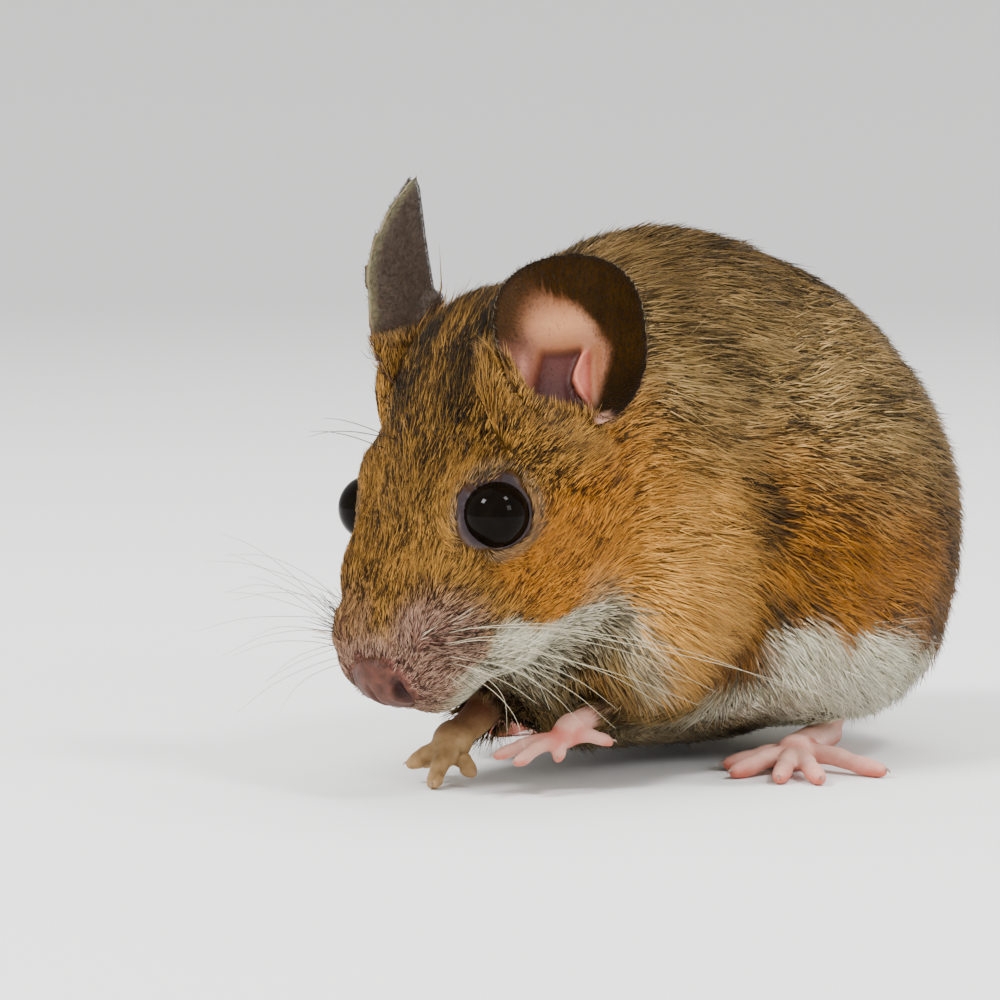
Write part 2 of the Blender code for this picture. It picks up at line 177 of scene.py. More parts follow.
def mesh_of(name, points, faces):
    """A smooth mesh from points in millimetres and an array of triangles or of quads."""
    mesh = bpy.data.meshes.new(name)
    sides = faces.shape[1]
    mesh.vertices.add(len(points))
    mesh.vertices.foreach_set("co", (points * MM).astype(np.float32).ravel())
    mesh.loops.add(faces.size)
    mesh.loops.foreach_set("vertex_index", faces.astype(np.int32).ravel())
    mesh.polygons.add(len(faces))
    mesh.polygons.foreach_set("loop_start", np.arange(0, faces.size, sides, dtype=np.int32))
    mesh.polygons.foreach_set("use_smooth", np.ones(len(faces), bool))
    mesh.update(calc_edges=True)
    return mesh


def object_of(name, mesh):
    """A mesh, lamp or camera set in the scene."""
    made = bpy.data.objects.new(name, mesh)
    bpy.context.scene.collection.objects.link(made)
    return made


def arrays_of(mesh):
    """(points in millimetres, triangles, point normals) of a mesh."""
    mesh.calc_loop_triangles()
    points = np.empty(len(mesh.vertices) * 3, np.float32)
    mesh.vertices.foreach_get("co", points)
    faces = np.empty(len(mesh.loop_triangles) * 3, np.int32)
    mesh.loop_triangles.foreach_get("vertices", faces)
    normals = np.empty(len(mesh.vertices) * 3, np.float32)
    mesh.vertex_normals.foreach_get("vector", normals)
    shape = (-1, 3)
    return points.reshape(shape) / MM, faces.reshape(shape), normals.reshape(shape).astype(float)


def together(shells):
    """Several (points, triangles) as one."""
    starts = np.cumsum([0] + [len(points) for points, _ in shells])
    points = np.concatenate([points for points, _ in shells])
    return points, np.concatenate([faces + start for (_, faces), start in zip(shells, starts)])


def with_modifiers(obj):
    """The mesh of the object with its modifiers applied; the object is removed."""
    bpy.context.view_layer.update()
    graph = bpy.context.evaluated_depsgraph_get()
    mesh = bpy.data.meshes.new_from_object(obj.evaluated_get(graph))
    bpy.data.objects.remove(obj)
    return mesh


MELT_SMOOTHING = 3  # passes after the shells are melted into one


def melted(shells, voxel):
    """One closed surface round all the shells, on a grid of voxel millimetres, and smoothed."""
    points, faces = together(shells)
    obj = object_of("melting", mesh_of("melting", points, faces))
    remesh = obj.modifiers.new("one", "REMESH")
    remesh.mode = "VOXEL"
    remesh.voxel_size = voxel * MM
    smooth = obj.modifiers.new("smooth", "SMOOTH")
    smooth.factor = 0.5
    smooth.iterations = MELT_SMOOTHING
    return with_modifiers(obj)


def ringed(rings):
    """A closed shell from rings (n, m, 3), with a pole at each end, facing out."""
    n, m, _ = rings.shape
    points = np.concatenate([rings.reshape(-1, 3), rings[0].mean(0)[None], rings[-1].mean(0)[None]])
    row = np.arange(n - 1)[:, None] * m
    column = np.arange(m)[None]
    after = (column + 1) % m
    a, b = row + column, row + after
    sides = [np.stack([a, b, b + m], -1), np.stack([a, b + m, a + m], -1)]
    ends = [
        np.stack([np.full(m, n * m), after[0], column[0]], -1),
        np.stack([np.full(m, n * m + 1), column[0] + (n - 1) * m, after[0] + (n - 1) * m], -1),
    ]
    faces = np.concatenate([f.reshape(-1, 3) for f in sides + ends])
    return facing_out(points, faces)


def facing_out(points, faces):
    """The faces turned round if the volume they enclose comes out below nothing."""
    a, b, c = points[faces].transpose(1, 0, 2)
    inside_out = (a * np.cross(b, c)).sum() < 0
    return points, faces[:, ::-1] if inside_out else faces


def looped(rings):
    """A closed ring-shaped shell from rings (n, m, 3), the last joined to the first."""
    n, m, _ = rings.shape
    row = np.arange(n)[:, None] * m
    after_row = (row + m) % (n * m)
    column = np.arange(m)[None]
    after = (column + 1) % m
    faces = [
        np.stack([row + column, row + after, after_row + after], -1),
        np.stack([row + column, after_row + after, after_row + column], -1),
    ]
    faces = np.concatenate([f.reshape(-1, 3) for f in faces])
    return facing_out(rings.reshape(-1, 3), faces)


def along(knots, steps):
    """Values on a Catmull-Rom curve through the knots (n, k)."""
    knots = np.asarray(knots, float)
    ends = np.concatenate([[2 * knots[0] - knots[1]], knots, [2 * knots[-1] - knots[-2]]])
    t = np.linspace(0, len(knots) - 1, (len(knots) - 1) * steps + 1)
    i = np.minimum(t.astype(int), len(knots) - 2)
    t = (t - i)[:, None]
    a, b, c, d = (ends[i + k] for k in range(4))
    return 0.5 * (
        2 * b + (c - a) * t + (2 * a - 5 * b + 4 * c - d) * t**2 + (3 * b - a - 3 * c + d) * t**3
    )


def tube(knots, radii, steps=8, sides=16, creases=0.0, ends=5):
    """A round profile carried along a curve, its radius given at the knots, with rounded ends.
    Creases pinch it a little at each knot."""
    line = along(np.column_stack([knots, radii]), steps)
    centre, radius = line[:, :3], line[:, 3]
    if creases:
        t = np.linspace(0, len(radii) - 1, len(radius))
        radius = radius * (1 + creases * np.cos(2 * np.pi * (t - 0.5)))
    way = unit(np.gradient(centre, axis=0))
    round_end = np.sin(np.linspace(0.15, 1, ends) * np.pi / 2)
    reach = np.sqrt(1 - round_end**2)
    centre = np.concatenate([
        centre[0] - way[0] * radius[0] * reach[:, None],
        centre,
        centre[-1] + way[-1] * radius[-1] * reach[::-1, None],
    ])
    way = np.concatenate([np.repeat(way[:1], ends, 0), way, np.repeat(way[-1:], ends, 0)])
    radius = np.concatenate([radius[0] * round_end, radius, radius[-1] * round_end[::-1]])
    spread = np.abs(unit(centre[-1] - centre[0]))
    across = unit(np.cross(way, np.eye(3)[np.argmin(spread)]))
    over = np.cross(way, across)
    angle = np.linspace(0, 2 * np.pi, sides, endpoint=False)[None, :, None]
    around = np.cos(angle) * across[:, None] + np.sin(angle) * over[:, None]
    return ringed(centre[:, None] + radius[:, None, None] * around)


def ball(centre, radii, rows=24, columns=32):
    """An ellipsoid in the frame's axes: circles of longitude at latitudes up to near the poles."""
    lat = np.linspace(-0.97, 0.97, rows)[:, None] * np.pi / 2
    lon = np.linspace(0, 2 * np.pi, columns, endpoint=False)[None]
    circle = np.stack([np.cos(lon), np.sin(lon), 0 * lon], -1) * np.cos(lat)[..., None]
    return ringed(np.asarray(centre) + (circle + TOP * np.sin(lat)[..., None]) * radii)


def head_ball(centre, radii):
    """An ellipsoid in the head's axes."""
    points, faces = ball((0, 0, 0), np.asarray(radii))
    return facing_out(from_head(points + np.asarray(centre)), faces)


# ---------------------------------------------------------------- ears

# Each ear is an oval sheet curled about its length: z = depth * x^2 in its own axes, x running
# from -1 to 1 across. Root, way, opening, half length, depth of the curl, sideways shift.
EARS = {
    "left": ((19.6, 7.0, 10.2), (0.78, 0.48, -0.40), (-0.41, 0.57, 0.72), 6.1, 3.0, 0.7),
    "right": ((21.6, 6.8, -7.2), (0.63, 0.75, -0.04), (-0.41, 0.57, -0.72), 7.0, 3.7, 0.0),
}
EAR_HALF_WIDTH = 5.1
EAR_SET_BACK = 1.8
EAR_THICKNESS, RIM_THINNER = 0.5, 0.1
EAR_CIRCLES, EAR_SPOKES = 60, 150  # the ear's grid
# Lines on the inner face of the near ear, each as (heights y along it, its places x across).
FOLD_FRONT = ((-0.95, -0.87, -0.67, -0.50, -0.40, -0.20), (0.10, 0.08, -0.02, -0.06, -0.02, 0.12))
FOLD_BACK = ((-0.95, -0.87, -0.52, -0.20), (0.14, 0.12, 0.17, 0.24))
BOWL_FRONT = ((-0.9, -0.57, -0.18), (-0.62, -0.60, -0.42))
BAND_EDGE = (
    (-1.0, -0.87, -0.63, -0.45, -0.21, 0.05, 0.21, 0.45, 0.62),
    (0.12, 0.16, 0.30, 0.42, 0.44, 0.38, 0.24, 0.04, -0.45),
)


def ear_axes(side):
    """(base point, axes as rows: across, along, outwards from the inner face)."""
    root, way, opening, *_ = EARS[side]
    long_way = unit(np.array(way) @ HEAD_AXES)
    outward = np.array(opening) @ HEAD_AXES
    outward = unit(outward - long_way * (outward @ long_way))
    return from_head(root), np.array([np.cross(long_way, outward), long_way, outward])


def ear_sheet(side, x, y):
    """Places of the ear's middle sheet for x across and y along, both -1 to 1."""
    _, _, _, half_length, depth, shift = EARS[side]
    base, axes = ear_axes(side)
    front = SIDES[side]  # the front edge has x < 0 on the left ear and x > 0 on the right
    local = np.stack(
        [EAR_HALF_WIDTH * x + shift, half_length * (1 + y), depth * x**2 - EAR_SET_BACK], -1
    )
    return base + local @ axes, front


def ear_place(side, p):
    """(x across, y along, height over the sheet) of points, x < 0 towards the front edge."""
    _, _, _, half_length, depth, shift = EARS[side]
    base, axes = ear_axes(side)
    local = (p - base) @ axes.T
    x = (local[:, 0] - shift) / EAR_HALF_WIDTH
    y = local[:, 1] / half_length - 1
    return x * SIDES[side], y, local[:, 2] - depth * x**2 + EAR_SET_BACK


def ear_out(side, x, y):
    """How far out a place on the ear is: 0 in the middle, 1 on the outline. The outline is a circle
    above; below it is a superellipse, squarer towards the lobe, and a little longer."""
    power = np.where(y > 0, 2.0, 4.5 if side == "right" else np.where(x > 0, 2.7, 2.0))
    y = np.where(y > 0, y, y / 1.08)
    return (np.abs(x) ** power + np.abs(y) ** power) ** (1 / power)


def ear_fold(x, y):
    """(distance behind the front edge of the upright fold, its width there, 1 beside the fold)."""
    edge, back = np.interp(y, *FOLD_FRONT), np.interp(y, *FOLD_BACK)
    return x - edge, back - edge, step(-0.14, -0.26, y) * step(-1.02, -0.93, y)


def ear_bowl(x, y):
    """1 in the deep bowl of the ear, whose upper edge is nearly straight."""
    front = np.interp(y, *BOWL_FRONT)
    behind, _, _ = ear_fold(x, y)
    return step(-0.10, -0.19, y) * step(-0.05, 0.05, x - front) * step(0.03, -0.03, behind)


def small_fold(x, y):
    """1 on the small slanting fold in front of the bowl."""
    return bump(x + 0.66 - 0.2 * (y + 0.3), 0.05) * bump(y + 0.36, 0.14)


def ear_relief(x, y):
    """Height of the inner face's folds in millimetres: a bowl low in the middle, an upright fold
    behind it, a small fold in front, and a raised rim."""
    behind, width, beside = ear_fold(x, y)
    bowl = -0.55 * ear_bowl(x, y) - 0.2 * bump(x + 0.05, 0.3) * bump(y + 0.3, 0.5)
    fold = 0.6 * bump(behind - 0.03, 0.06) - 0.25 * bump(behind - width - 0.04, 0.06)
    rim = 0.14 * step(0.88, 0.98, np.hypot(x, y))
    return bowl + fold * beside + 0.1 * small_fold(x, y) + rim


def on_sheet(side, x, y, height):
    """Whether points lie on the ear itself, not on the head before or behind it."""
    from_sheet = height - ear_relief(x, y)
    return (ear_out(side, x, y) < 1.08) & (np.abs(from_sheet) < 0.48)


def fringe_line(x):
    """How high the hair of the head covers the left ear's foot, falling towards the lobe."""
    return np.interp(x, (-0.95, -0.78, -0.62, 0.08, 0.4), (-0.2, -0.42, -0.74, -0.93, -1.1))


def ear_fringe(p):
    """1 on the foot of the ear, where long hair of the head grows up over it."""
    fringe = np.zeros(len(p))
    for side in SIDES:
        x, y, height = ear_place(side, p)
        foot = step(0.06, -0.12, y - fringe_line(x)) if side == "left" else step(-0.35, -0.7, y)
        fringe = np.maximum(fringe, foot * on_sheet(side, x, y, height))
    return fringe


def ear_band(x, y, wave=0.0):
    """1 on the dark hairy band inside the ear: wide behind, down to the lobe, narrow in front."""
    behind = step(-0.09, 0.08, x - np.interp(y, *BAND_EDGE) + wave)
    front = step(0.44, 0.82, np.hypot(x * 0.95, y * 1.1) + wave) * step(-0.3, 0.05, y)
    return np.maximum(behind, front)


def ear_shell(side):
    """The two faces of the ear: the sheet, raised and lowered by half its thickness, which tapers
    to the rim."""
    out = np.linspace(0.015, 1, EAR_CIRCLES)[:, None]
    angle = np.linspace(0, 2 * np.pi, EAR_SPOKES, endpoint=False)[None]
    x, y = np.cos(angle), np.sin(angle)
    reach = out / ear_out(side, x * SIDES[side], y)
    x, y = x * reach, y * reach
    middle, front = ear_sheet(side, x, y)
    _, axes = ear_axes(side)
    thick = (EAR_THICKNESS - RIM_THINNER * out**2) * np.sqrt(np.clip(1 - out**40, 0, 1)) + 0 * angle
    relief = ear_relief(x * front, y)
    inner = middle + axes[2] * (relief + thick / 2)[..., None]
    outer = middle + axes[2] * (relief - thick / 2)[..., None]
    return ringed(np.concatenate([inner, outer[::-1]]))


# ---------------------------------------------------------------- feet and tail

# Places of the left hind foot and of both forefeet, (left, back, up) in the standing axes.
HIND_BALL = np.array((12.0, -0.5, 1.25))
HIND_HEEL = np.array((6.4, 11.3, 0.95))
HIND_TOE_TIPS = ((8.7, -3.3), (11.2, -6.0), (15.0, -6.2), (17.3, -4.9), (18.4, 0.6))
HIND_ANKLE = ((6.6, 11.0, 2.0), (8.4, 9.5, 6.0), (10.0, 7.5, 10.0))
RIGHT_HIND_BEHIND = 5.5  # how much further back the right hind foot stands
# side: the wrist's end of the palm, the knots of the arm, the tips of the four fingers
FORE_FEET = {
    "left": (
        (5.9, -17.6, 4.3),
        ((5.9, -17.0, 4.6), (6.4, -13.6, 5.6), (8.0, -9.5, 8.5)),
        ((4.0, -22.9, 2.9), (5.6, -22.8, 2.6), (6.6, -19.9, 2.7), (7.6, -16.0, 3.4)),
    ),
    "right": (
        (-2.7, -19.9, 3.0),
        ((-2.7, -19.4, 3.3), (-3.2, -16.4, 4.4), (-5.0, -11.0, 6.6)),
        ((-4.4, -22.0, 1.5), (-1.6, -23.2, 0.5), (-0.4, -20.9, 1.2), (-5.6, -19.6, 1.2)),
    ),
}
TOE_RADIUS = 0.70
FINGER_RADIUS = 0.66
PALM_RADIUS = 1.4
LIFTED_SLIMNESS = 0.76  # of the lifted left forefoot against the right one
DIGIT_KNOTS = 5
TOE_CREASES = 0.035  # how much the creases pinch a toe, as a share of its radius
TAIL_ROUTE = (
    (-0.5, 18.0, 9.0), (-1.6, 22.5, 5.0), (-5.0, 26.5, 1.9), (-12.0, 31.0, 1.35),
    (-21.0, 36.5, 1.15), (-30.5, 43.5, 0.95), (-39.0, 52.5, 0.8), (-47.0, 61.0, 0.65),
    (-56.5, 66.0, 0.45),
)
TAIL_RADII = (2.4, 1.95, 1.65, 1.42, 1.22, 1.04, 0.86, 0.7, 0.45)
TAIL_RINGS = 150  # rings of scales along the tail


def digit(base, tip, radius, arch):
    """(knots, radii) of a toe: raised at the knuckle, swollen at the pad."""
    base, tip = np.array(base, float), np.array(tip, float)
    knuckle = (base + tip) / 2 + (0, 0, arch)
    second = mix(base, tip, 0.72) + (0, 0, arch * 0.5)
    pad = mix(base, tip, 0.88)
    pad[2] = tip[2] + 0.12
    last = tip + unit(tip - pad) * 0.2
    radii = np.array((1.02, 1.0, 0.9, 0.96, 0.74)) * radius
    return np.array((base, knuckle, second, pad, last)), radii


def foot_lines():
    """Every tube of the feet as (kind, side, knots, radii), in the standing axes."""
    lines = []
    for side, sign in SIDES.items():
        turn = np.array((sign, 1, 1))
        behind = np.array((0, RIGHT_HIND_BEHIND if side == "right" else 0.0, 0))
        ball_of, heel = HIND_BALL * turn + behind, HIND_HEEL * turn + behind
        middle = (ball_of + heel) / 2 + (0, 0, 0.15)
        lines.append(("hind", side, np.array((ball_of, middle, heel)), (1.3, 1.1, 1.05)))
        lines.append(("hind", side, np.array(HIND_ANKLE) * turn + behind, (1.2, 1.6, 2.2)))
        across = unit(np.cross(heel - ball_of, TOP)) * sign
        for i, tip in enumerate(HIND_TOE_TIPS):
            spread = (i - 2) / 2
            base = ball_of - across * 1.25 * spread + (heel - ball_of) * (0.05 + 0.09 * spread**2)
            base[2] = 1.1
            knots, radii = digit(base, behind + (sign * tip[0], tip[1], 0.55), TOE_RADIUS, 0.35)
            lines.append(("toe", side, knots, radii))
    for side, (palm, arm, tips) in FORE_FEET.items():
        slim = LIFTED_SLIMNESS if side == "left" else 1.0
        lines.append(("arm", side, np.array(arm), (1.05 * slim, 1.25 * slim, 1.9)))
        ball_of = mix(np.array(palm), np.mean(tips, axis=0), 0.3)
        half = mix(np.array(palm), ball_of, 0.5)
        widths = np.array((1.0, 1.0, 0.9)) * PALM_RADIUS * slim
        lines.append(("palm", side, np.array((palm, half, ball_of)), widths))
        for tip in tips:
            knots, radii = digit(mix(ball_of, np.array(tip), 0.18), tip, FINGER_RADIUS * slim, 0.2)
            lines.append(("finger", side, knots, radii))
    return lines


def distance_to(line, radii, p):
    """Distance of points from the surface of a tube, and how far along it they are (0 to 1)."""
    best = np.full(len(p), 1e9)
    where = np.zeros(len(p))
    for i in range(len(line) - 1):
        a, b = line[i], line[i + 1]
        t = np.clip((p - a) @ (b - a) / ((b - a) @ (b - a)), 0, 1)
        d = np.linalg.norm(p - a - t[:, None] * (b - a), axis=1) - mix(radii[i], radii[i + 1], t)
        closer = d < best
        best = np.where(closer, d, best)
        where = np.where(closer, (i + t) / (len(line) - 1), where)
    return best, where


# ---------------------------------------------------------------- the skin

FLESH = (
    "head", "neck", "trunk", "thigh_left", "thigh_right", "foreleg_left", "foreleg_right",
)
BARE_NODES = (
    "hindfoot_left", "hindfoot_right", "forepaw_left", "forepaw_right", "ear_left", "ear_right",
    "tail_base", "tail_middle", "tail_tip",
)
BRIDGE = 0.22  # each flesh node swells by this, so that its neighbours meet across the cuts
FLESH_GRAIN = 0.35  # grid on which the flesh is made one
SKIN_TRIANGLES = 150000
LOWEST = 0.02  # the skin's least height over the floor
LID_DEPTH = 0.35  # how far the skin under the lids lies inside the eyeball
LID_OPENING = 76.0  # degrees from the eye's axis to the edge of the lids
LID_SPOKES = 140
# The lid's profile: degrees outwards from its edge, and millimetres over the eyeball.
LID_ANGLES = np.array((50, 30, 12, 2, -0.4, 0.6, 3, 6, 9, 13, 18, 28, 50))
LID_REACH = np.array((-0.7, -0.5, -0.3, -0.25, 0.02, 0.13, 0.19, 0.2, 0.13, 0.19, 0.26, 0.24, 0.1))
EYE_AXIS = (-0.264, 0.579, 0.772)  # (back, up, out) in the head


def flesh_shell(node):
    """A copy of a CAD node with its doubles merged, swollen along its normals."""
    shape = bmesh.new()
    shape.from_mesh(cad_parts[node].data)
    bmesh.ops.remove_doubles(shape, verts=shape.verts, dist=1e-6)
    mesh = bpy.data.meshes.new("copy")
    shape.to_mesh(mesh)
    shape.free()
    points, faces, normals = arrays_of(mesh)
    bpy.data.meshes.remove(mesh)
    return points + normals * BRIDGE, faces


def eye_distance(p):
    """Distance from the nearer eyeball's surface."""
    return np.minimum(*(np.linalg.norm(p - EYES[s], axis=1) for s in SIDES)) - EYE_RADIUS


def coat_depth(p, coat):
    """How far the skin lies inside the coat's outline: next to nothing at the nose and lids,
    a millimetre on the face, more on the body."""
    h = to_head(p)
    face = np.interp(h[:, 0], (0, 3, 8, 14, 24), (0.0, 0.08, 0.2, 0.45, 0.8))
    q = to_body(p)
    body = coat.body_depth / MM * (0.1 + 0.9 * step(2, 13, q[:, 2]))
    depth = mix(body, face, head_share(p))
    return mix(0.15, depth, step(0.2, 2.6, eye_distance(p)))


def behind_ears(p):
    """Points in front of an ear's sheet, inside its oval, moved behind it: the open bowl."""
    for side in SIDES:
        x, y, height = ear_place(side, p)
        _, axes = ear_axes(side)
        out = ear_out(side, x, y)
        if side == "left":
            # the cheek swells over the lower front edge of the ear
            cover = step(0.91, 1.0, out) * step(1.7, 1.15, out) * step(0.15, -0.05, x)
            cover = cover * step(0.0, -0.14, y - fringe_line(x)) * (np.abs(height) < 4)
            swell = np.clip(ear_relief(x, y) + 0.5 - height, 0, 1.6) * cover
            p = p + axes[2] * swell[:, None]
            inside = step(1.12, 1.0, out) * step(-1.14, -1.02, y) * (1 - cover)
        else:
            inside = step(0.86, 0.66, np.hypot(x - 0.1, y - 0.08))
        over = np.clip(height + 1.3, 0, None)
        over = np.where(height < 7, over, 0)
        p = p - axes[2] * (over * inside)[:, None]
    return p


def lid_shell(side):
    """The lids: a profile in (angle from the eye's axis, distance from its middle) carried round
    the eye, the opening a little longer towards the two corners."""
    sign = SIDES[side]
    axis = unit(np.array(EYE_AXIS) * (1, 1, sign) @ HEAD_AXES)
    front = -BACKWARD * 0.8 - UPWARD * 0.6
    front = unit(front - axis * (front @ axis))
    over = np.cross(axis, front) * sign
    turn = np.linspace(0, 2 * np.pi, LID_SPOKES, endpoint=False)[:, None]
    corner = np.maximum(bump(np.sin(turn / 2), 0.22), 0.6 * bump(np.cos(turn / 2), 0.22))
    edge = LID_OPENING + 4.0 * corner - 1.0 * np.cos(turn) ** 2 - 1.5 * np.sin(turn)
    theta = np.radians(edge + LID_ANGLES)[..., None]
    ring = np.cos(theta) * axis + np.sin(theta) * (
        np.cos(turn)[..., None] * front + np.sin(turn)[..., None] * over
    )
    return looped(EYES[side] + ring * (EYE_RADIUS + LID_REACH)[:, None])


def eye_polar(side, p):
    """(distance from the eyeball's surface, degrees from its axis)."""
    axis = unit(np.array(EYE_AXIS) * (1, 1, SIDES[side]) @ HEAD_AXES)
    away = p - EYES[side]
    far = np.linalg.norm(away, axis=1)
    return far - EYE_RADIUS, np.degrees(np.arccos(np.clip(away @ axis / far, -1, 1)))


# Places and radii of the muzzle's forms, (back, up, left) in the head.
NOSTRIL, NOSTRIL_RADII = (0.75, 0.15, 1.95), (0.6, 0.75, 0.36)
NOSE_BALL, NOSE_RADII = (1.7, 0.35, 0.0), (2.15, 2.4, 2.75)
NOSE_TIP = (0.0, 0.35, 0.0)
WHISKER_PAD, PAD_RADII = (4.6, 1.0, 3.3), (2.9, 2.9, 2.6)


def sideless(h):
    """(back, up, distance from the middle plane) of places in the head."""
    return h[:, 0], h[:, 1], np.abs(h[:, 2])


def oval(places, centre, radii):
    """Distance from a centre in radii: 1 on the surface of an ellipsoid."""
    return np.sqrt(sum(((x - c) / r) ** 2 for x, c, r in zip(places, centre, radii)))


def nostril_distance(h):
    """1 on the edge of a comma-shaped nostril: an oval whose lower end curls outwards."""
    b, u, side = sideless(h)
    curl = NOSTRIL[2] + 0.25 * np.clip(NOSTRIL[1] - u, -0.6, 1.2) ** 2
    return oval((b, u, side), (*NOSTRIL[:2], curl), NOSTRIL_RADII)


def face_relief(p):
    """Height of the small forms of the muzzle in millimetres: nostrils with a raised wing, the
    groove between the halves of the nose and lip, and the line of the mouth."""
    h = to_head(p)
    b, u, side = sideless(h)
    rim = nostril_distance(h)
    cleft = bump(side, 0.16) * step(3.4, 2.2, b) * step(1.6, 0.6, u)
    lip_u = -1.9 - 0.28 * b + 0.02 * b**2
    mouth = bump(u - lip_u, 0.22) * step(1.2, 2.2, b) * step(8.0, 6.5, b) * step(-1.0, -2.0, u)
    ring = bump(b - 2.7 - 0.25 * u, 0.35) * step(-1.5, 0.5, u)
    nostril = 0.14 * bump(rim - 1.7, 0.5) * (b < 3) - 0.75 * bump(rim, 1.0)
    return nostril - 0.28 * cleft - 0.4 * mouth - 0.05 * ring


def thinned(mesh, triangles):
    """The mesh brought under this many triangles, flatter places first."""
    obj = object_of("thinning", mesh)
    thin = obj.modifiers.new("thin", "DECIMATE")
    thin.ratio = triangles / len(arrays_of(mesh)[1])
    thin.use_collapse_triangulate = True
    return with_modifiers(obj)


def skin_mesh(coat):
    """One skin: the flesh made one and drawn in by the coat's depth, the ears, lids, feet and tail
    melted into it, and then the small forms of the muzzle and the sockets of the eyes."""
    flesh = [flesh_shell(node) for node in FLESH]
    flesh += [ball(EYES[side], np.full(3, EYE_RADIUS + 0.15)) for side in SIDES]
    flesh.append(head_ball(NOSE_BALL, NOSE_RADII))
    for sign in SIDES.values():
        flesh.append(head_ball(np.array(WHISKER_PAD) * (1, 1, sign), PAD_RADII))
    base = melted(flesh, FLESH_GRAIN)
    points, faces, normals = arrays_of(base)
    bpy.data.meshes.remove(base)
    points = points - normals * (coat_depth(points, coat) + BRIDGE)[:, None]
    points = behind_ears(points)
    shells = [(points, faces)]
    for side in SIDES:
        shells += [lid_shell(side), ear_shell(side)]
    for _, _, knots, radii in foot_lines():
        creases = TOE_CREASES if len(knots) == DIGIT_KNOTS else 0
        shells.append(tube(from_body(knots), radii, 8, 20, creases))
    shells.append(tube(from_body(TAIL_ROUTE), TAIL_RADII, 12, 24))
    mesh = melted(shells, coat.skin_grain / MM)
    points, faces, normals = arrays_of(mesh)
    points = points + normals * face_relief(points)[:, None]
    for side in SIDES:
        depth, angle = eye_polar(side, points)
        sunk = (angle < LID_OPENING - 4) & (depth > -0.9) & (depth < 0.6)
        inwards = EYES[side] + unit(points - EYES[side]) * (EYE_RADIUS - LID_DEPTH)
        points = np.where(sunk[:, None], inwards, points)
    points[:, 2] = np.maximum(points[:, 2], LOWEST)
    mesh.vertices.foreach_set("co", (points * MM).astype(np.float32).ravel())
    mesh.update()
    return thinned(mesh, SKIN_TRIANGLES)


# ---------------------------------------------------------------- markings

# zone: hair colour, its light, its dark, and the share of dark hairs
ZONES = {
    "face": ("#76521E", "#BC883C", "#261808", 0.44),
    "crown": ("#3C2A10", "#846024", "#0E0A05", 0.70),
    "cheek": ("#945A12", "#C4822A", "#3A2208", 0.36),
    "neck": ("#B47E34", "#DCA656", "#624416", 0.24),
    "back": ("#886A36", "#BC9C66", "#302412", 0.40),
    # fold: painted shade, dark hair in the crease behind the shoulder, down the rump and along the
    # top of the back
    "fold": ("#4E3818", "#705228", "#1E1406", 0.55),
    "flank": ("#8C540E", "#B47824", "#42290A", 0.34),
    "pale": ("#C4BC9C", "#E8E4D0", "#8E8870", 0.2),
    # shaded_throat: painted shade, dark olive hair on the throat, the front of the chest and the
    # forelegs, which are pale or golden in life
    "shaded_throat": ("#6E5630", "#8E7648", "#30220E", 0.4),
    "muzzle": ("#8A6450", "#B89880", "#321C12", 0.38),
}


# setting: the zones that take its colour, the first of which has it as it is
TINTED = {
    "face_colour": ("face", "crown", "muzzle"),
    "flank_colour": ("flank", "neck", "cheek"),
    "back_colour": ("back", "fold"),
    "belly_colour": ("pale", "shaded_throat"),
}
TINTS = {}
# The belly line as (places along the body, heights), and the lip line as (places back, up).
BELLY_LINE = (
    (-20, -17.4, -16.2, -15.2, -13.5, -12, -10.5, -9.3, -7.8, -5, 1, 10, 20),
    (14.4, 14.2, 12.6, 11.2, 6.0, 7.0, 8.6, 9.8, 10.6, 12.2, 11.4, 8.8, 6.0),
)
LIP_LINE = ((2, 7.3, 12, 14.4, 18), (-0.2, -2.4, -4.2, -5.0, -6.4))
# Middles of the muzzle's pink hair and of the bare skin under it, and the radii of a plain ball.
PINK_HAIR, PINK_SKIN, PLAIN_BALL = (3.2, 1.2, 4.2), (3.2, 1.0, 4.2), (1.0, 1.0, 1.0)


def set_tints(coat):
    """Scales the hair colours of each group of zones to the colour chosen for it."""
    for setting, zones in TINTED.items():
        usual = linear(ZONES[zones[0]][0])
        for zone in zones:
            TINTS[zone] = np.array(getattr(coat, setting)) / usual


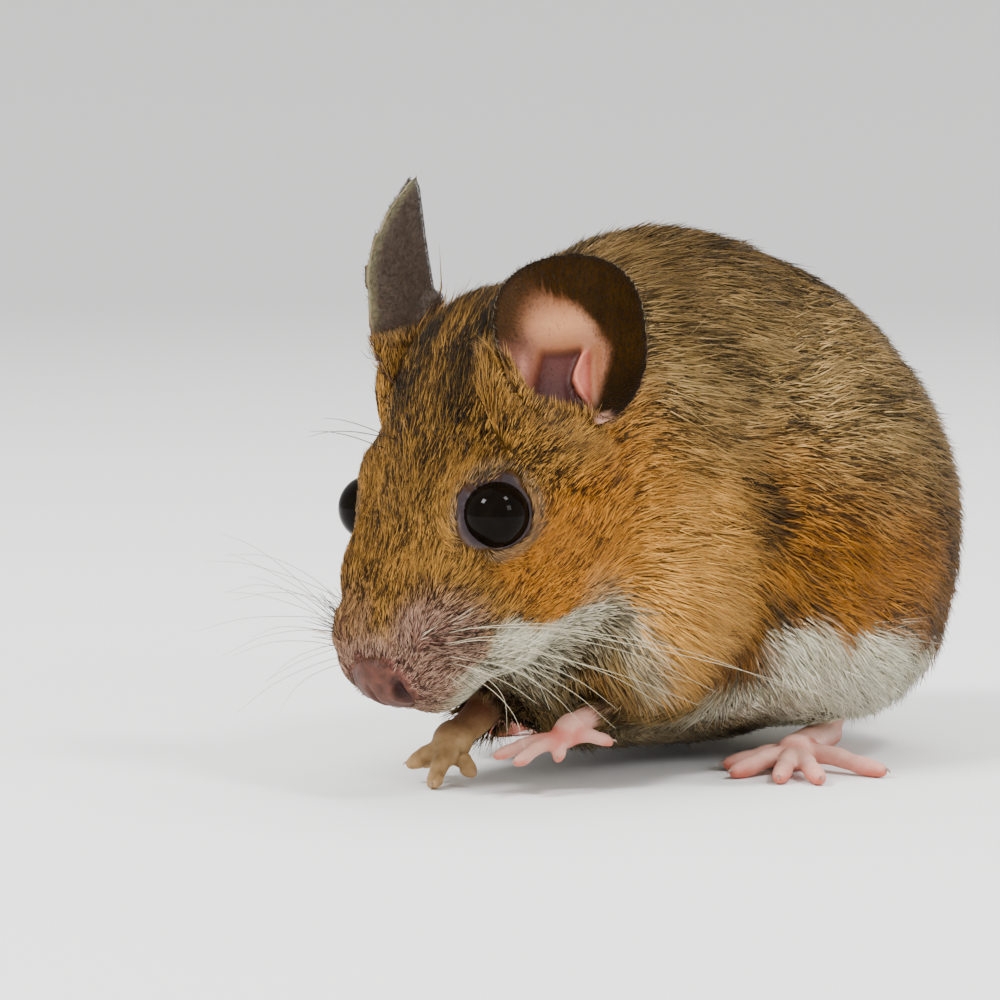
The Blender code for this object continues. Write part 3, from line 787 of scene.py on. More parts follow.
def zone_shares(p):
    """How much each zone of the coat counts at each point, as {zone: share}: each is a product of
    steps and bells across its edges, and the zones named first cover those named after them."""
    h, q = to_head(p), to_body(p)
    b, u, side = sideless(h)
    x, y, z = q.T
    out = np.abs(x)
    head = head_share(p)
    wobble = (noise(p, 1.3, 3) - 0.5) * 1.4 + (noise(p, 4.0, 4) - 0.5) * 1.2
    # the pale under side: below a line from lip to throat in the head, below the belly line behind
    lip = np.interp(b, *LIP_LINE) - u
    pale_head = step(-0.5, 0.4, lip + wobble * 0.5) * step(1.5, 3.5, b)
    below = step(3.9, 5.4, lip + wobble * 0.5) * step(5.5, 7.5, b)
    patch = bump(b - 6.2, 1.7) * bump(u + 1.9, 1.6) * step(3.8, 5.2, side)
    pale_head = np.maximum(pale_head, step(0.3, 0.7, patch + 0.15 * wobble))
    pale_body = step(-0.9, 0.9, np.interp(y, *BELLY_LINE) - z + wobble)
    arm = np.zeros(len(p))
    sleeve = np.zeros(len(p))
    for kind, _, knots, radii in foot_lines():
        if kind == "arm":
            d, _ = distance_to(from_body(knots), radii, p)
            arm = np.maximum(arm, step(3.2, 1.6, d))
            sleeve = np.maximum(sleeve, step(4.6, 2.8, d + wobble * 0.4))
    front = step(-11, -13.5, y) * step(9.6, 7.8, out)
    front = np.maximum(front, 0.85 * step(4.0, -2.0, y) * step(6.0, 4.0, z))
    # the throat, the front of the chest and the forelegs take painted shade
    shaded_throat = np.maximum(head * below, (1 - head) * np.maximum(front * pale_body, arm))
    sleeve = sleeve * step(3.5, 6.5, x) * step(7.5, 9.5, z)
    pale = mix(pale_body, pale_head, head)
    # the pale wedge behind the cheek ends above the foreleg
    shoulder = step(-17.6, -16.6, y) * step(-11.5, -13.0, y) * step(8.2, 9.6, x)
    pale = pale * (1 - shoulder * step(12.6, 10.8, z + 0.4 * wobble))
    muzzle = head * step(4.6, 2.2, oval((b, u, side), PINK_HAIR, PLAIN_BALL))
    muzzle = muzzle * (0.35 + 0.65 * step(-3.0, -0.5, h[:, 2]))
    muzzle = np.maximum(muzzle, head * step(3.4, 1.6, b))
    crown = head * bump(side - 2.2, 2.0) * step(11, 17, b) * step(5, 8, u)
    crown = np.maximum(crown, 0.55 * head * bump(side, 3.0) * step(7, 12, b) * step(4, 6, u))
    cheek = head * step(7, 9.5, b) * step(4.2, 6.0, side) * step(4.5, 1.5, u)
    back = (1 - head) * step(17, 25, z + wobble * 1.6 + 0.22 * np.clip(y, -12, 14))
    neck = (1 - head) * step(-6, -12, y) * step(29, 24, z)
    # darker hair as painted shade: in the crease behind the shoulder, down the rump, and along the
    # top of the back where its outline is dark
    fold = bump(y + 7.4 + 0.2 * (z - 16), 2.2) * step(9, 13, z) * step(25, 20, z)
    rump = 0.8 * bump(y - 10.0, 3.2) * step(8, 11, z) * step(26, 20, z)
    fold = np.maximum(fold, rump) * step(7, 11, out) * np.clip(0.8 + wobble, 0, 1)
    spine = 0.8 * bump(x - 1.5, 6.0) * step(19, 27, z) * np.clip(0.9 + wobble * 0.6, 0, 1)
    fold = (1 - head) * np.maximum(fold, spine)
    shares = {
        "sleeve": sleeve * (1 - head),
        "shaded_throat": shaded_throat,
        "pale": pale,
        "muzzle": muzzle * (1 - 0.7 * pale),
        "crown": crown,
        "cheek": cheek,
        "fold": fold,
        "back": back,
        "neck": neck,
    }
    rest = np.ones(len(p))
    for zone in shares:
        shares[zone] = shares[zone] * rest
        rest = rest - shares[zone]
    # round the top of the near foreleg, part of the fold's painted shade is laid over the flank's
    # colour
    sleeve = shares.pop("sleeve")
    shares["fold"] = shares["fold"] + 0.55 * sleeve
    shares["face"] = rest * head
    shares["flank"] = rest * (1 - head) + 0.45 * sleeve
    return shares


USUAL, LIGHT, DARK, SHARE_OF_DARK = range(4)  # columns of ZONES


def zone_values(shares, column):
    """A column of ZONES blended by the zones' shares."""
    rows = {zone: values[column] for zone, values in ZONES.items()}
    if column == SHARE_OF_DARK:
        return sum(shares[zone] * rows[zone] for zone in ZONES)
    return sum(shares[zone][:, None] * linear(rows[zone]) * TINTS[zone] for zone in ZONES)


# Each function below gives the layers of paint of a bare part in turn, as (share of each point
# covered, tone). The shares are products of steps and bells across the edges of each patch.

def nose_paint(h, grain):
    """The nose, mottled, and the nostrils painted near-black as painted shade in their openings."""
    near = h[:, 0] < 8
    nose = oval(sideless(h), NOSE_TIP, (2.9, 2.9, 3.3)) + 0.25 * (grain[:, 0] - 0.5)
    yield step(1.04, 0.74, nose) * near, mixed("#341A12", "#5E3628", grain)
    # painted shade in the nostrils' openings
    yield step(1.7, 0.7, nostril_distance(h)) * near, "#240804"


def lid_paint(p, side, grain):
    """A ring of bare skin round the eye, darkest at its edge."""
    depth, angle = eye_polar(side, p)
    lid = step(0.75, 0.5, depth) * step(LID_OPENING + 6, LID_OPENING + 2, angle)
    yield lid, mixed("#382C28", "#6A5850", grain)
    yield lid * step(LID_OPENING + 4, LID_OPENING - 1, angle), "#2A1E22"


def velvet_of(p, side):
    """(share of the ear's inner face, share of its dark velvet) at each point."""
    x, y, height = ear_place(side, p)
    inner = step(-0.08, 0.06, height - ear_relief(x, y)) * on_sheet(side, x, y, height)
    return inner, ear_band(x, y, (noise(p, 1.5, 6) - 0.5) * 0.12)


def ear_paint(p, side, grain, hair):
    """Grey-brown behind; inside, a pink arc, the dark red bowl deepened by painted shade, the fold
    with painted light and shade, the small fold with a painted highlight, painted shade in the
    canal, the velvet darkened lower down by painted shade, the rim, and the hair's own colour where
    the hair of the head covers the foot."""
    x, y, height = ear_place(side, p)
    out = ear_out(side, x, y)
    ear = on_sheet(side, x, y, height).astype(float)
    inner, brown = velvet_of(p, side)
    yield ear, mixed("#3A2E26", "#524438", grain)
    arc = bump(y - 0.17 + 0.35 * (x + 0.1) ** 2, 0.16) * bump(x + 0.1, 0.42)
    yield inner, mixed("#845030", "#B67C52", arc[:, None])
    yield inner * step(-0.35, -0.62, x) * step(0.25, -0.1, y) * 0.85, "#6E4034"
    # painted highlight: the small fold lighter than the skin round it
    yield inner * small_fold(x, y) * 0.7, "#A8705E"
    # the bowl's dark red: partly the skin's own colour, partly painted shade of the hollow, darker
    # lower down
    yield inner * ear_bowl(x, y), mixed("#4A1E16", "#360D06", step(-0.2, -0.6, y)[:, None])
    behind, width, beside = ear_fold(x, y)
    fold = step(-0.02, 0.02, behind) * step(0.02, -0.02, behind - width) * beside
    # the fold's own pink, with painted light on its front edge and painted shade towards the hollow
    # behind it
    yield inner * fold, mixed("#B86A56", "#7E3020", step(0.3, 1.0, behind / width)[:, None])
    # painted shade: near-black at the opening of the ear canal
    yield inner * bump(x, 0.17) * bump(y + 0.86, 0.16), "#240404"
    yield inner * brown, mixed("#1E1002", "#2E1C04", grain)
    # painted shade: the velvet darker towards the foot of the ear
    yield inner * brown * step(-0.45, -0.75, y) * 0.7, "#120A02"
    yield inner * step(-0.3, -0.7, x) * step(-0.5, 0.1, y) * brown * 0.5, "#4C3420"
    above_fringe = step(-0.05, 0.1, y - fringe_line(x)) if side == "left" else 1.0
    yield inner * step(0.91, 0.96, out) * above_fringe, "#1A120A"
    yield ear * (1 - above_fringe), hair * 0.7
    yield inner * bump(x - 0.24, 0.09) * step(-0.94, -1.0, y), "#BC8C7C"
    yield (ear - inner) * step(0.90, 0.98, out) * 0.6 * step(-0.5, -0.2, y), "#8A8664"


def foot_paint(p, grain):
    """Pink feet, paler on top and redder at the toes' roots and pads; the right forefoot, in the
    head's shadow, is painted tan-brown as painted shade.
    """
    height = to_body(p)[:, 2]
    foot, fore, shaded_forefoot, under, tips = np.zeros((5, len(p)))
    for kind, side, knots, radii in foot_lines():
        d, t = distance_to(from_body(knots), radii, p)
        share = step(0.5, 0.25, d)
        if kind == "arm":
            share = share * (step(0.7, 0.4, t) if side == "right" else step(0.45, 0.1, t))
        if kind == "hind":
            share = share * step(4.4, 2.9, height)
        foot = np.maximum(foot, share)
        if kind in ("arm", "palm", "finger"):
            fore = np.maximum(fore, share)
            if side == "right":
                shaded_forefoot = np.maximum(shaded_forefoot, share)
        if len(knots) == DIGIT_KNOTS:
            under = np.maximum(under, share * step(0.3, 0.0, t))
            below_tip = step(knots[-2][2] + 0.15, knots[-2][2] - 0.35, height)
            tips = np.maximum(tips, share * step(0.6, 0.85, t) * below_tip * 0.8)
    high = step(0.3, 1.6, height)[:, None]
    yield foot, mixed("#C47464", "#E6B8A6", np.clip(high * 0.6 + grain * 0.35, 0, 1))
    yield fore * 0.5, "#8A5848"
    yield foot * under * 0.75, "#B05040"
    yield foot * tips, "#B45844"
    # painted shade: the right forefoot tan-brown over its pink, darker higher up the arm under the
    # head
    yield foot * shaded_forefoot, mixed("#866640", "#AA8A5E", grain)
    yield foot * shaded_forefoot * step(2.6, 5.0, height), "#5A3420"


def tail_paint(p, share, t):
    """Dark above and pale below the middle of the tail."""
    knots = np.array(TAIL_ROUTE)
    centre = np.interp(t, np.linspace(0, 1, len(knots)), knots[:, 2])
    above = step(-0.25, 0.35, (to_body(p)[:, 2] - centre) / 1.2)[:, None]
    yield share, mixed("#A89684", "#5C4A3C", above)


def skin_colours(p):
    """(colour of the skin at each point, how bare it is from 0 to 1, how far along the tail): the
    hair's own colour, darker between the hairs, with each bare part painted over it in turn."""
    shares = zone_shares(p)
    hair = zone_values(shares, USUAL)
    h = to_head(p)
    grain = noise(p, 0.35, 8)[:, None]
    d, t = distance_to(from_body(TAIL_ROUTE), TAIL_RADII, p)
    tail = step(0.6, 0.35, d) * step(0.1, 0.16, t)
    colour = hair * (0.3 + 0.4 * shares["pale"])[:, None]
    # the skin of the whisker pads shows a little between short hairs
    pad = step(4.6, 2.4, oval(sideless(h), PINK_SKIN, PLAIN_BALL)) * (h[:, 0] < 8)
    colour = mix(colour, linear("#8A5E54"), pad[:, None])
    bare = pad * 0.2
    layers = [nose_paint(h, grain)]
    layers += [lid_paint(p, side, grain) for side in SIDES]
    layers += [ear_paint(p, side, grain, hair) for side in SIDES]
    layers += [foot_paint(p, grain), tail_paint(p, tail, t)]
    for share, tone in (layer for part in layers for layer in part):
        share = np.clip(share, 0, 1)
        tone = linear(tone) if isinstance(tone, str) else tone
        colour = mix(colour, tone, share[:, None])
        bare = np.maximum(bare, share)
    velvet = np.max([inner * brown for inner, brown in (velvet_of(p, s) for s in SIDES)], axis=0)
    return colour, bare - 0.4 * velvet * (bare > 0.9), np.where(tail > 0.5, t, 0.0)


# ---------------------------------------------------------------- materials

def add_node(tree, kind, result, inputs, **settings):
    """Adds a node with its settings, gives each input its value or a link from another node's
    output, and returns the output named result. Each node stands left of those made before it."""
    node = tree.nodes.new(kind)
    node.location = (-200 * len(tree.nodes), 100)
    for name, value in settings.items():
        setattr(node, name, value)
    for name, value in inputs.items():
        if isinstance(value, bpy.types.NodeSocket):
            tree.links.new(value, node.inputs[name])
        else:
            node.inputs[name].default_value = value
    return node.outputs[result]


def new_material(name, **settings):
    """A Principled material, its tree and its shader, with a place in metres on the piece."""
    made = bpy.data.materials.new(name)
    made.use_nodes = True
    tree = made.node_tree
    shader = tree.nodes["Principled BSDF"]
    for key, value in settings.items():
        shader.inputs[key.replace("_", " ")].default_value = value
    return made, tree, shader, add_node(tree, "ShaderNodeTexCoord", "Object", {})


def skin_material():
    """Live skin: soft and slightly translucent, so that thin ears and toes glow, with a fine
    grain of creases about a quarter of a millimetre apart and, on the tail, rings about half a
    millimetre apart."""
    made, tree, shader, place = new_material(
        "mouse_skin", Roughness=0.55, IOR=1.4, Subsurface_Radius=(1.0, 0.35, 0.2),
        Subsurface_Scale=0.0007,
    )
    colour = add_node(tree, "ShaderNodeAttribute", "Color", {}, attribute_name="tone")
    bare = add_node(tree, "ShaderNodeAttribute", "Fac", {}, attribute_name="bare")
    along_tail = add_node(tree, "ShaderNodeAttribute", "Fac", {}, attribute_name="tail")
    grain = add_node(tree, "ShaderNodeTexVoronoi", "Distance", {"Vector": place, "Scale": 4200.0})
    fine = add_node(
        tree, "ShaderNodeTexNoise", "Fac", {"Vector": place, "Scale": 2600.0, "Detail": 3.0}
    )
    rings = add_node(
        tree, "ShaderNodeMath", "Value", {0: along_tail, 1: 2 * math.pi * TAIL_RINGS},
        operation="MULTIPLY",
    )
    rings = add_node(tree, "ShaderNodeMath", "Value", {0: rings}, operation="SINE")
    creases = add_node(tree, "ShaderNodeMath", "Value", {0: grain, 1: bare}, operation="MULTIPLY")
    creases = add_node(tree, "ShaderNodeMath", "Value", {0: creases, 1: fine}, operation="ADD")
    height = add_node(
        tree, "ShaderNodeMath", "Value", {0: rings, 1: 0.5, 2: creases}, operation="MULTIPLY_ADD"
    )
    relief = {"Strength": 0.35, "Distance": 0.00006, "Height": height}
    tree.links.new(add_node(tree, "ShaderNodeBump", "Normal", relief), shader.inputs["Normal"])
    tree.links.new(colour, shader.inputs["Base Color"])
    # the velvet inside the ear, 0.6 bare, has no skin's shine, and light passes under the surface
    # only where no hair covers it
    for name, first, least, most in (
        ("Specular IOR Level", 0.65, 0.02, 0.35), ("Subsurface Weight", 0.5, 0.0, 0.2)
    ):
        share = {"Value": bare, "From Min": first, "From Max": 0.95, "To Min": least}
        share["To Max"] = most
        tree.links.new(add_node(tree, "ShaderNodeMapRange", "Result", share), shader.inputs[name])
    return made


def hair_material(name, roughness=0.5):
    """Hair: keratin, slightly shiny along each lock, its colour carried by the lock itself, with
    grease and dust in patches about 1.5 mm across that change its colour and its shine."""
    made, tree, shader, place = new_material(name, IOR=1.55, Specular_IOR_Level=0.15)
    tone = add_node(tree, "ShaderNodeAttribute", "Color", {}, attribute_name="tone")
    patches = add_node(
        tree, "ShaderNodeTexNoise", "Fac", {"Vector": place, "Scale": 650.0, "Detail": 2.0}
    )
    level, gloss = (
        add_node(
            tree, "ShaderNodeMapRange", "Result", {"Value": patches, "To Min": low, "To Max": high}
        )
        for low, high in ((0.84, 1.16), (roughness - 0.1, roughness + 0.15))
    )
    tone = add_node(
        tree, "ShaderNodeVectorMath", "Vector", {0: tone, "Scale": level}, operation="SCALE"
    )
    tree.links.new(tone, shader.inputs["Base Color"])
    tree.links.new(gloss, shader.inputs["Roughness"])
    return made


def mottled_material(name, scale, detail, colours, **settings):
    """A smooth material whose colour runs between two sRGB hex colours in soft patches, about one
    over scale metres across."""
    made, tree, shader, place = new_material(name, **settings)
    patches = add_node(
        tree, "ShaderNodeTexNoise", "Fac", {"Vector": place, "Scale": scale, "Detail": detail}
    )
    mottled = add_node(tree, "ShaderNodeValToRGB", "Color", {"Fac": patches})
    for element, colour in zip(mottled.node.color_ramp.elements, colours):
        element.color = (*linear(colour), 1)
    tree.links.new(mottled, shader.inputs["Base Color"])
    return made


def eye_material():
    """Wet cornea over a black-brown iris: a mirror-smooth surface that shows the lamps, with the
    iris a shade lighter in soft patches about 0.8 mm across."""
    return mottled_material(
        "wet_black_eye", 1200.0, 2.0, ("#040302", "#120C07"), Roughness=0.04, IOR=1.376,
        Specular_IOR_Level=0.07,
    )


def claw_material():
    """Horn: smooth, with pale and dark patches about a third of a millimetre across."""
    return mottled_material(
        "claw_horn", 3000.0, 2.0, ("#6E5448", "#AA8A7C"), Roughness=0.35, IOR=1.54
    )


def floor_material(colour):
    """Matt paper: no shine, with a faint tooth of fibres 0.5 mm apart that softens its shading."""
    made, tree, shader, place = new_material(
        "matt_paper_floor", Base_Color=(*colour, 1), Roughness=0.8, Specular_IOR_Level=0.2, IOR=1.5
    )
    fibres = add_node(
        tree, "ShaderNodeTexNoise", "Fac", {"Vector": place, "Scale": 2000.0, "Detail": 2.0}
    )
    tooth = {"Strength": 0.15, "Distance": 0.00005, "Height": fibres}
    tree.links.new(add_node(tree, "ShaderNodeBump", "Normal", tooth), shader.inputs["Normal"])
    return made


def set_attribute(mesh, name, kind, values):
    """Writes one value per point into the mesh."""
    made = mesh.attributes.new(name, kind, "POINT")
    if kind == "FLOAT_COLOR":
        values = np.column_stack([values, np.ones(len(values))])
        made.data.foreach_set("color", values.astype(np.float32).ravel())
    else:
        made.data.foreach_set("value", values.astype(np.float32))


# ---------------------------------------------------------------- the coat

COAT_PIECES = ("muzzle", "face", "crown", "neck", "back_left", "back_right", "under", "bare_parts")


def piece_masks(p, bare):
    """Which coat piece each point belongs to, as {piece: 0 or 1}."""
    h, q = to_head(p), to_body(p)
    head = head_share(p) > 0.5
    covered = bare < 0.5
    under = ~head & (q[:, 2] < 9.5) & covered
    back = ~head & ~under & (q[:, 1] > -9.0) & covered
    front = head & covered
    return {
        "muzzle": front & (h[:, 0] < 9.5),
        "face": front & (h[:, 0] >= 9.5) & (h[:, 1] < 5.5),
        "crown": front & (h[:, 0] >= 9.5) & (h[:, 1] >= 5.5),
        "neck": ~head & ~under & (q[:, 1] <= -9.0) & covered,
        "back_left": back & (q[:, 0] >= 0),
        "back_right": back & (q[:, 0] < 0),
        "under": under,
        "bare_parts": ~covered,
    }


# Length of the hair of the face as (places back, millimetres), and the tuft's other sizes as
# (lengths, sizes).
FACE_LENGTH = ((0, 2, 5, 9, 14, 20, 27), (0.5, 0.8, 1.2, 1.7, 2.3, 2.9, 3.6))
TUFT_LENGTHS = (0.5, 1.5, 3, 6)
TUFT_HALF_WIDTH = (TUFT_LENGTHS, (0.026, 0.038, 0.053, 0.076))
TUFT_BEND = (TUFT_LENGTHS, (0.10, 0.22, 0.45, 0.85))
TUFT_TIP = (TUFT_LENGTHS, (0.12, 0.32, 0.65, 1.25))


def coat_sizes(p, bare):
    """(length, half width, height at the bend, height at the tip) of a tuft at each point: short
    and flat on the muzzle, longer and fuller over the body, least on ears and feet."""
    h, q = to_head(p), to_body(p)
    head = head_share(p)
    face = np.interp(h[:, 0], *FACE_LENGTH) * mix(0.5, 1.0, step(0.1, 3.0, eye_distance(p)))
    body = mix(5.2, 3.2, step(9, 3, q[:, 2]))
    for kind, _, knots, radii in foot_lines():
        if kind in ("arm", "hind"):
            d, t = distance_to(from_body(knots), radii, p)
            body = mix(mix(1.0, 2.6, t), body, step(0.8, 4.5, d))
    length = mix(body, face, head)
    width, bend, tip = (
        np.interp(length, *sizes) for sizes in (TUFT_HALF_WIDTH, TUFT_BEND, TUFT_TIP)
    )
    # longer hair stands round the foot of the right ear, shorter before the left ear's opening
    base, _ = ear_axes("right")
    length = length * (1 + 0.3 * bump(np.linalg.norm(p - base, axis=1), 4.5))
    x, y, height = ear_place("left", p)
    before = step(1.45, 1.15, ear_out("left", x, y)) * step(-0.25, -0.5, y) * step(0.4, 0.1, x)
    length = length * (1 - 0.55 * before * step(2.8, 2.0, np.abs(height)))
    # the hair of the chest hangs
    chest = bump(q[:, 1] + 15.5, 2.2) * step(7, 4, q[:, 2]) * step(6, 3.5, np.abs(q[:, 0] + 1.5))
    chest = chest * (1 - head)
    bend, tip = bend + 0.5 * chest, tip + 1.3 * chest
    small = bare > 0.5
    fringe = ear_fringe(p)
    on_feet = step(6.0, 5.0, q[:, 2]) * (1 - head)
    length = np.where(small, mix(mix(0.42, 0.3, on_feet), 1.5, fringe), length)
    width = np.where(small, mix(mix(0.018, 0.010, on_feet), 0.034, fringe), width)
    bend = np.where(small, mix(0.03, 0.30, fringe), bend)
    tip = np.where(small, mix(0.05, 0.45, fringe), tip)
    return length, width, bend, tip


def lie_of_coat(p, n, on_bare):
    """The way the hair lies: back from the nose over the head, parting round the eyes, then along
    the body, down the flanks and over the rump, and down the limbs."""
    h, q = to_head(p), to_body(p)
    head = head_share(p)[:, None]
    over_face = np.column_stack([h[:, 0] + 4.0, h[:, 1] * 0.8 + 0.5, h[:, 2] * 0.75]) @ HEAD_AXES
    rump = step(8, 20, q[:, 1])
    flank = step(26, 12, q[:, 2])
    along_body = np.column_stack([
        0.10 * np.sign(q[:, 0]) * step(20, 32, q[:, 2]),
        np.ones(len(p)),
        -0.28 - 0.35 * flank - 0.9 * rump,
    ])
    # on each whisker pad the hair spreads from its middle
    centre = np.column_stack([np.full((len(p), 2), (4.0, 2.8)), np.sign(h[:, 2]) * 4.2])
    spread = (h - centre) @ HEAD_AXES
    far = np.linalg.norm(h - centre, axis=1)[:, None]
    pad = bump(far, 2.6) * step(0.2, 1.1, far) * head
    over_face = mix(unit(over_face), unit(spread), np.clip(pad * 0.6, 0, 1))
    way = unit(mix(unit(along_body), unit(over_face), head))
    for side in SIDES:
        away = p - EYES[side]
        far = np.linalg.norm(away, axis=1, keepdims=True)
        away = away / far
        near = bump((far - EYE_RADIUS) / 2.2, 1.0)
        inwards = np.minimum(dot(way, away), 0)
        way = way - away * inwards * near * 1.2 + away * 0.35 * near
        # over the ears the hair points to the rim
        x, y, height = ear_place(side, p)
        on_ear = (on_bare & on_sheet(side, x, y, height))[:, None]
        base, axes = ear_axes(side)
        centre = base + axes[1] * 1.0
        rising = unit(p - centre)
        if side == "left":
            rising = mix(rising, unit(BACKWARD * 0.75 + UPWARD * 0.65), ear_fringe(p)[:, None])
        else:
            rising = mix(rising, TOP, 0.8 * ear_fringe(p)[:, None])
        way = np.where(on_ear, rising, way)
    line = from_body(TAIL_ROUTE)
    d, t = distance_to(line, TAIL_RADII, p)
    i = np.clip((t * (len(line) - 1)).astype(int), 0, len(line) - 2)
    way = np.where(((d < 0.6) & (t > 0.12))[:, None], unit(line[i + 1] - line[i]), way)
    for kind, _, knots, radii in foot_lines():
        knots = from_body(knots)
        d, _ = distance_to(knots, radii, p)
        limb = kind in ("arm", "hind")
        down = unit(knots[-1] - knots[0]) * (-1 if limb else 1)
        share = step(4.0, 1.0, d) * (1 - head[:, 0]) if limb else step(0.4, 0.2, d)
        way = mix(way, down, share[:, None])
    return unit(way - n * dot(way, n))


def scattered(points, faces, normals, weights, count, rng):
    """Roots spread evenly over the triangles by weight: (places, normals)."""
    a, b, c = points[faces].transpose(1, 0, 2)
    area = np.linalg.norm(np.cross(b - a, c - a), axis=1) / 2 * weights[faces].mean(1)
    total = np.cumsum(area)
    pick = np.searchsorted(total, (np.arange(count) + rng.random(count)) / count * total[-1])
    pick = np.minimum(pick, len(faces) - 1)
    r = np.sqrt(rng.random(count))[:, None]
    s = rng.random(count)[:, None]
    shares = np.stack([1 - r, r * (1 - s), r * s])
    corner = faces[pick]
    place = sum(shares[k] * points[corner[:, k]] for k in range(3))
    normal = unit(sum(shares[k] * normals[corner[:, k]] for k in range(3)))
    return place, normal


def tuft_meshes(root, bend, tip, side, over, half_width):
    """Closed spindles: a root point, three points round the bend and a tip, six faces each."""
    count = len(root)
    ring = [
        bend + half_width[:, None] * (np.cos(a) * side + 0.7 * np.sin(a) * over)
        for a in (0.0, 2.094, 4.189)  # thirds of a turn
    ]
    points = np.stack([root, *ring, tip], axis=1).reshape(-1, 3)
    pattern = np.array(((0, 2, 1), (0, 3, 2), (0, 1, 3), (4, 1, 2), (4, 2, 3), (4, 3, 1)))
    faces = (np.arange(count)[:, None, None] * 5 + pattern[None]).reshape(-1, 3)
    return points, faces


PATCH = 0.003  # size of a tuft's patch on the unwrap
PATCH_CORNERS = PATCH * np.array(
    ((0.0, -0.5), (-0.5, 0.05), (0.06, -0.08), (0.5, 0.05), (0.0, 0.5))
)
STRAY_SHARE = 0.03  # of the tufts, which stand off a little more
ROOT_DEPTH = 0.1  # how far a tuft starts inside the skin
EYE_GAP, FLOOR_GAP = 0.25, 0.12  # between the hair and the eyeball, and the hair and the floor
LOCK_WIDTH = ((0.5, 2, 6), (0.5, 0.8, 1.7))  # of the locks that tufts of each length gather into


def unwrapped(p, piece):
    """The skin's own unwrap: the angle round the head or body against the way along it."""
    if piece in ("muzzle", "face", "crown"):
        h = to_head(p)
        around = np.arctan2(h[:, 2], h[:, 1] - 1.5)
        distance = h[:, 0]
    else:
        q = to_body(p)
        around = np.arctan2(q[:, 0], q[:, 2] - 16)
        distance = q[:, 1] + 0.25 * q[:, 2]
    both = np.column_stack([around, distance])
    low, high = both.min(0), both.max(0)
    return PATCH + (both - low) / (high - low) * (1 - 2 * PATCH)


def keep_clear(root, bend, tip):
    """Pushes bends and tips out of the eyeballs, back behind an ear, and up off the floor."""
    for side in SIDES:
        for place in (bend, tip):
            away = place - EYES[side]
            far = np.linalg.norm(away, axis=1, keepdims=True)
            place += away / far * np.clip(EYE_RADIUS + EYE_GAP - far, 0, None)
        # hair that starts behind an ear doesn't come through it
        x, y, start = ear_place(side, root)
        start = start - ear_relief(x, y)
        _, axes = ear_axes(side)
        for place in (bend, tip):
            x, y, height = ear_place(side, place)
            through = (start < 0.1) & (ear_out(side, x, y) < 1.06) & (height < 6)
            past = np.clip(height - ear_relief(x, y) + 0.4, 0, None)
            place -= axes[2] * np.where(through, past, 0)[:, None]
    for place in (bend, tip):
        place[:, 2] = np.maximum(place[:, 2], FLOOR_GAP)


def coat_piece(name, skin, count, coat, rng):
    """One piece of the coat: roots scattered over its part of the skin, each with a spindle."""
    points, faces, normals, bare, masks = skin
    weights = masks[name].astype(float)
    length, *_ = coat_sizes(points, bare)
    weights = weights * (1.0 + 1.5 * bump(length, 1.6))
    if name == "bare_parts":
        weights = weights * bare_part_density(points)
    elif name != "under":
        for side in SIDES:
            x, y, height = ear_place(side, points)
            weights = weights * ~on_sheet(side, x, y, height)
    root, n = scattered(points, faces, normals, weights, count, rng)
    near_bare = np.full(count, 1.0 if name == "bare_parts" else 0.0)
    long, half_width, lift, rise = coat_sizes(root, near_bare)
    way = lie_of_coat(root, n, near_bare > 0.5)
    across = np.cross(n, way)
    turn = (noise(root, 1.6, 11) - 0.5) * 0.7 + (noise(root, 5.0, 12) - 0.5) * 0.5
    turn = turn + rng.normal(0, 0.11, count)
    way = unit(way * np.cos(turn)[:, None] + across * np.sin(turn)[:, None])
    across = np.cross(n, way)
    long = long * (0.75 + 0.5 * rng.random(count)) * coat.length_scale
    stray = rng.random(count) < STRAY_SHARE
    rise = rise * (0.6 + 0.8 * rng.random(count)) * np.where(stray, 1.35, 1.0)
    lift = lift * (0.7 + 0.6 * rng.random(count))
    half_width = half_width * (0.7 + 0.6 * rng.random(count)) * coat.width_scale
    # the body curves away under a long tuft, which follows it
    radius = mix(19.0, 10.0, head_share(root))
    drop = long**2 / (2 * radius) * 0.8
    # tufts gather into locks: tips lean to the middle of the cell of a grid that they lie in
    cell = np.interp(long, *LOCK_WIDTH)[:, None]
    halfway = root + way * long[:, None] * 0.5
    lean = (np.floor(halfway / cell) + 0.5) * cell - halfway
    lean = lean - n * dot(lean, n)
    lean = (lean - way * dot(lean, way)) * 0.5
    bend = root + way * (long * 0.45)[:, None] + n * (lift - drop * 0.2)[:, None] + lean * 0.3
    tip = root + way * long[:, None] + n * (rise - drop)[:, None] + lean
    tip = tip + across * rng.normal(0, 0.05, count)[:, None] * long[:, None]
    keep_clear(root, bend, tip)
    start = root - n * ROOT_DEPTH
    mesh_points, mesh_faces = tuft_meshes(start, bend, tip, across, n, half_width)
    mesh = mesh_of("coat_" + name, mesh_points, mesh_faces)
    set_attribute(mesh, "tone", "FLOAT_COLOR", tuft_colours(root, rng, name))
    corners = (unwrapped(root, name)[:, None] + PATCH_CORNERS[None]).reshape(-1, 2)
    uv = np.clip(corners[mesh_faces.ravel()], 0, 1)
    layer = mesh.uv_layers.new(name="OFBake")
    layer.data.foreach_set("uv", uv.astype(np.float32).ravel())
    return object_of("coat_" + name, mesh)


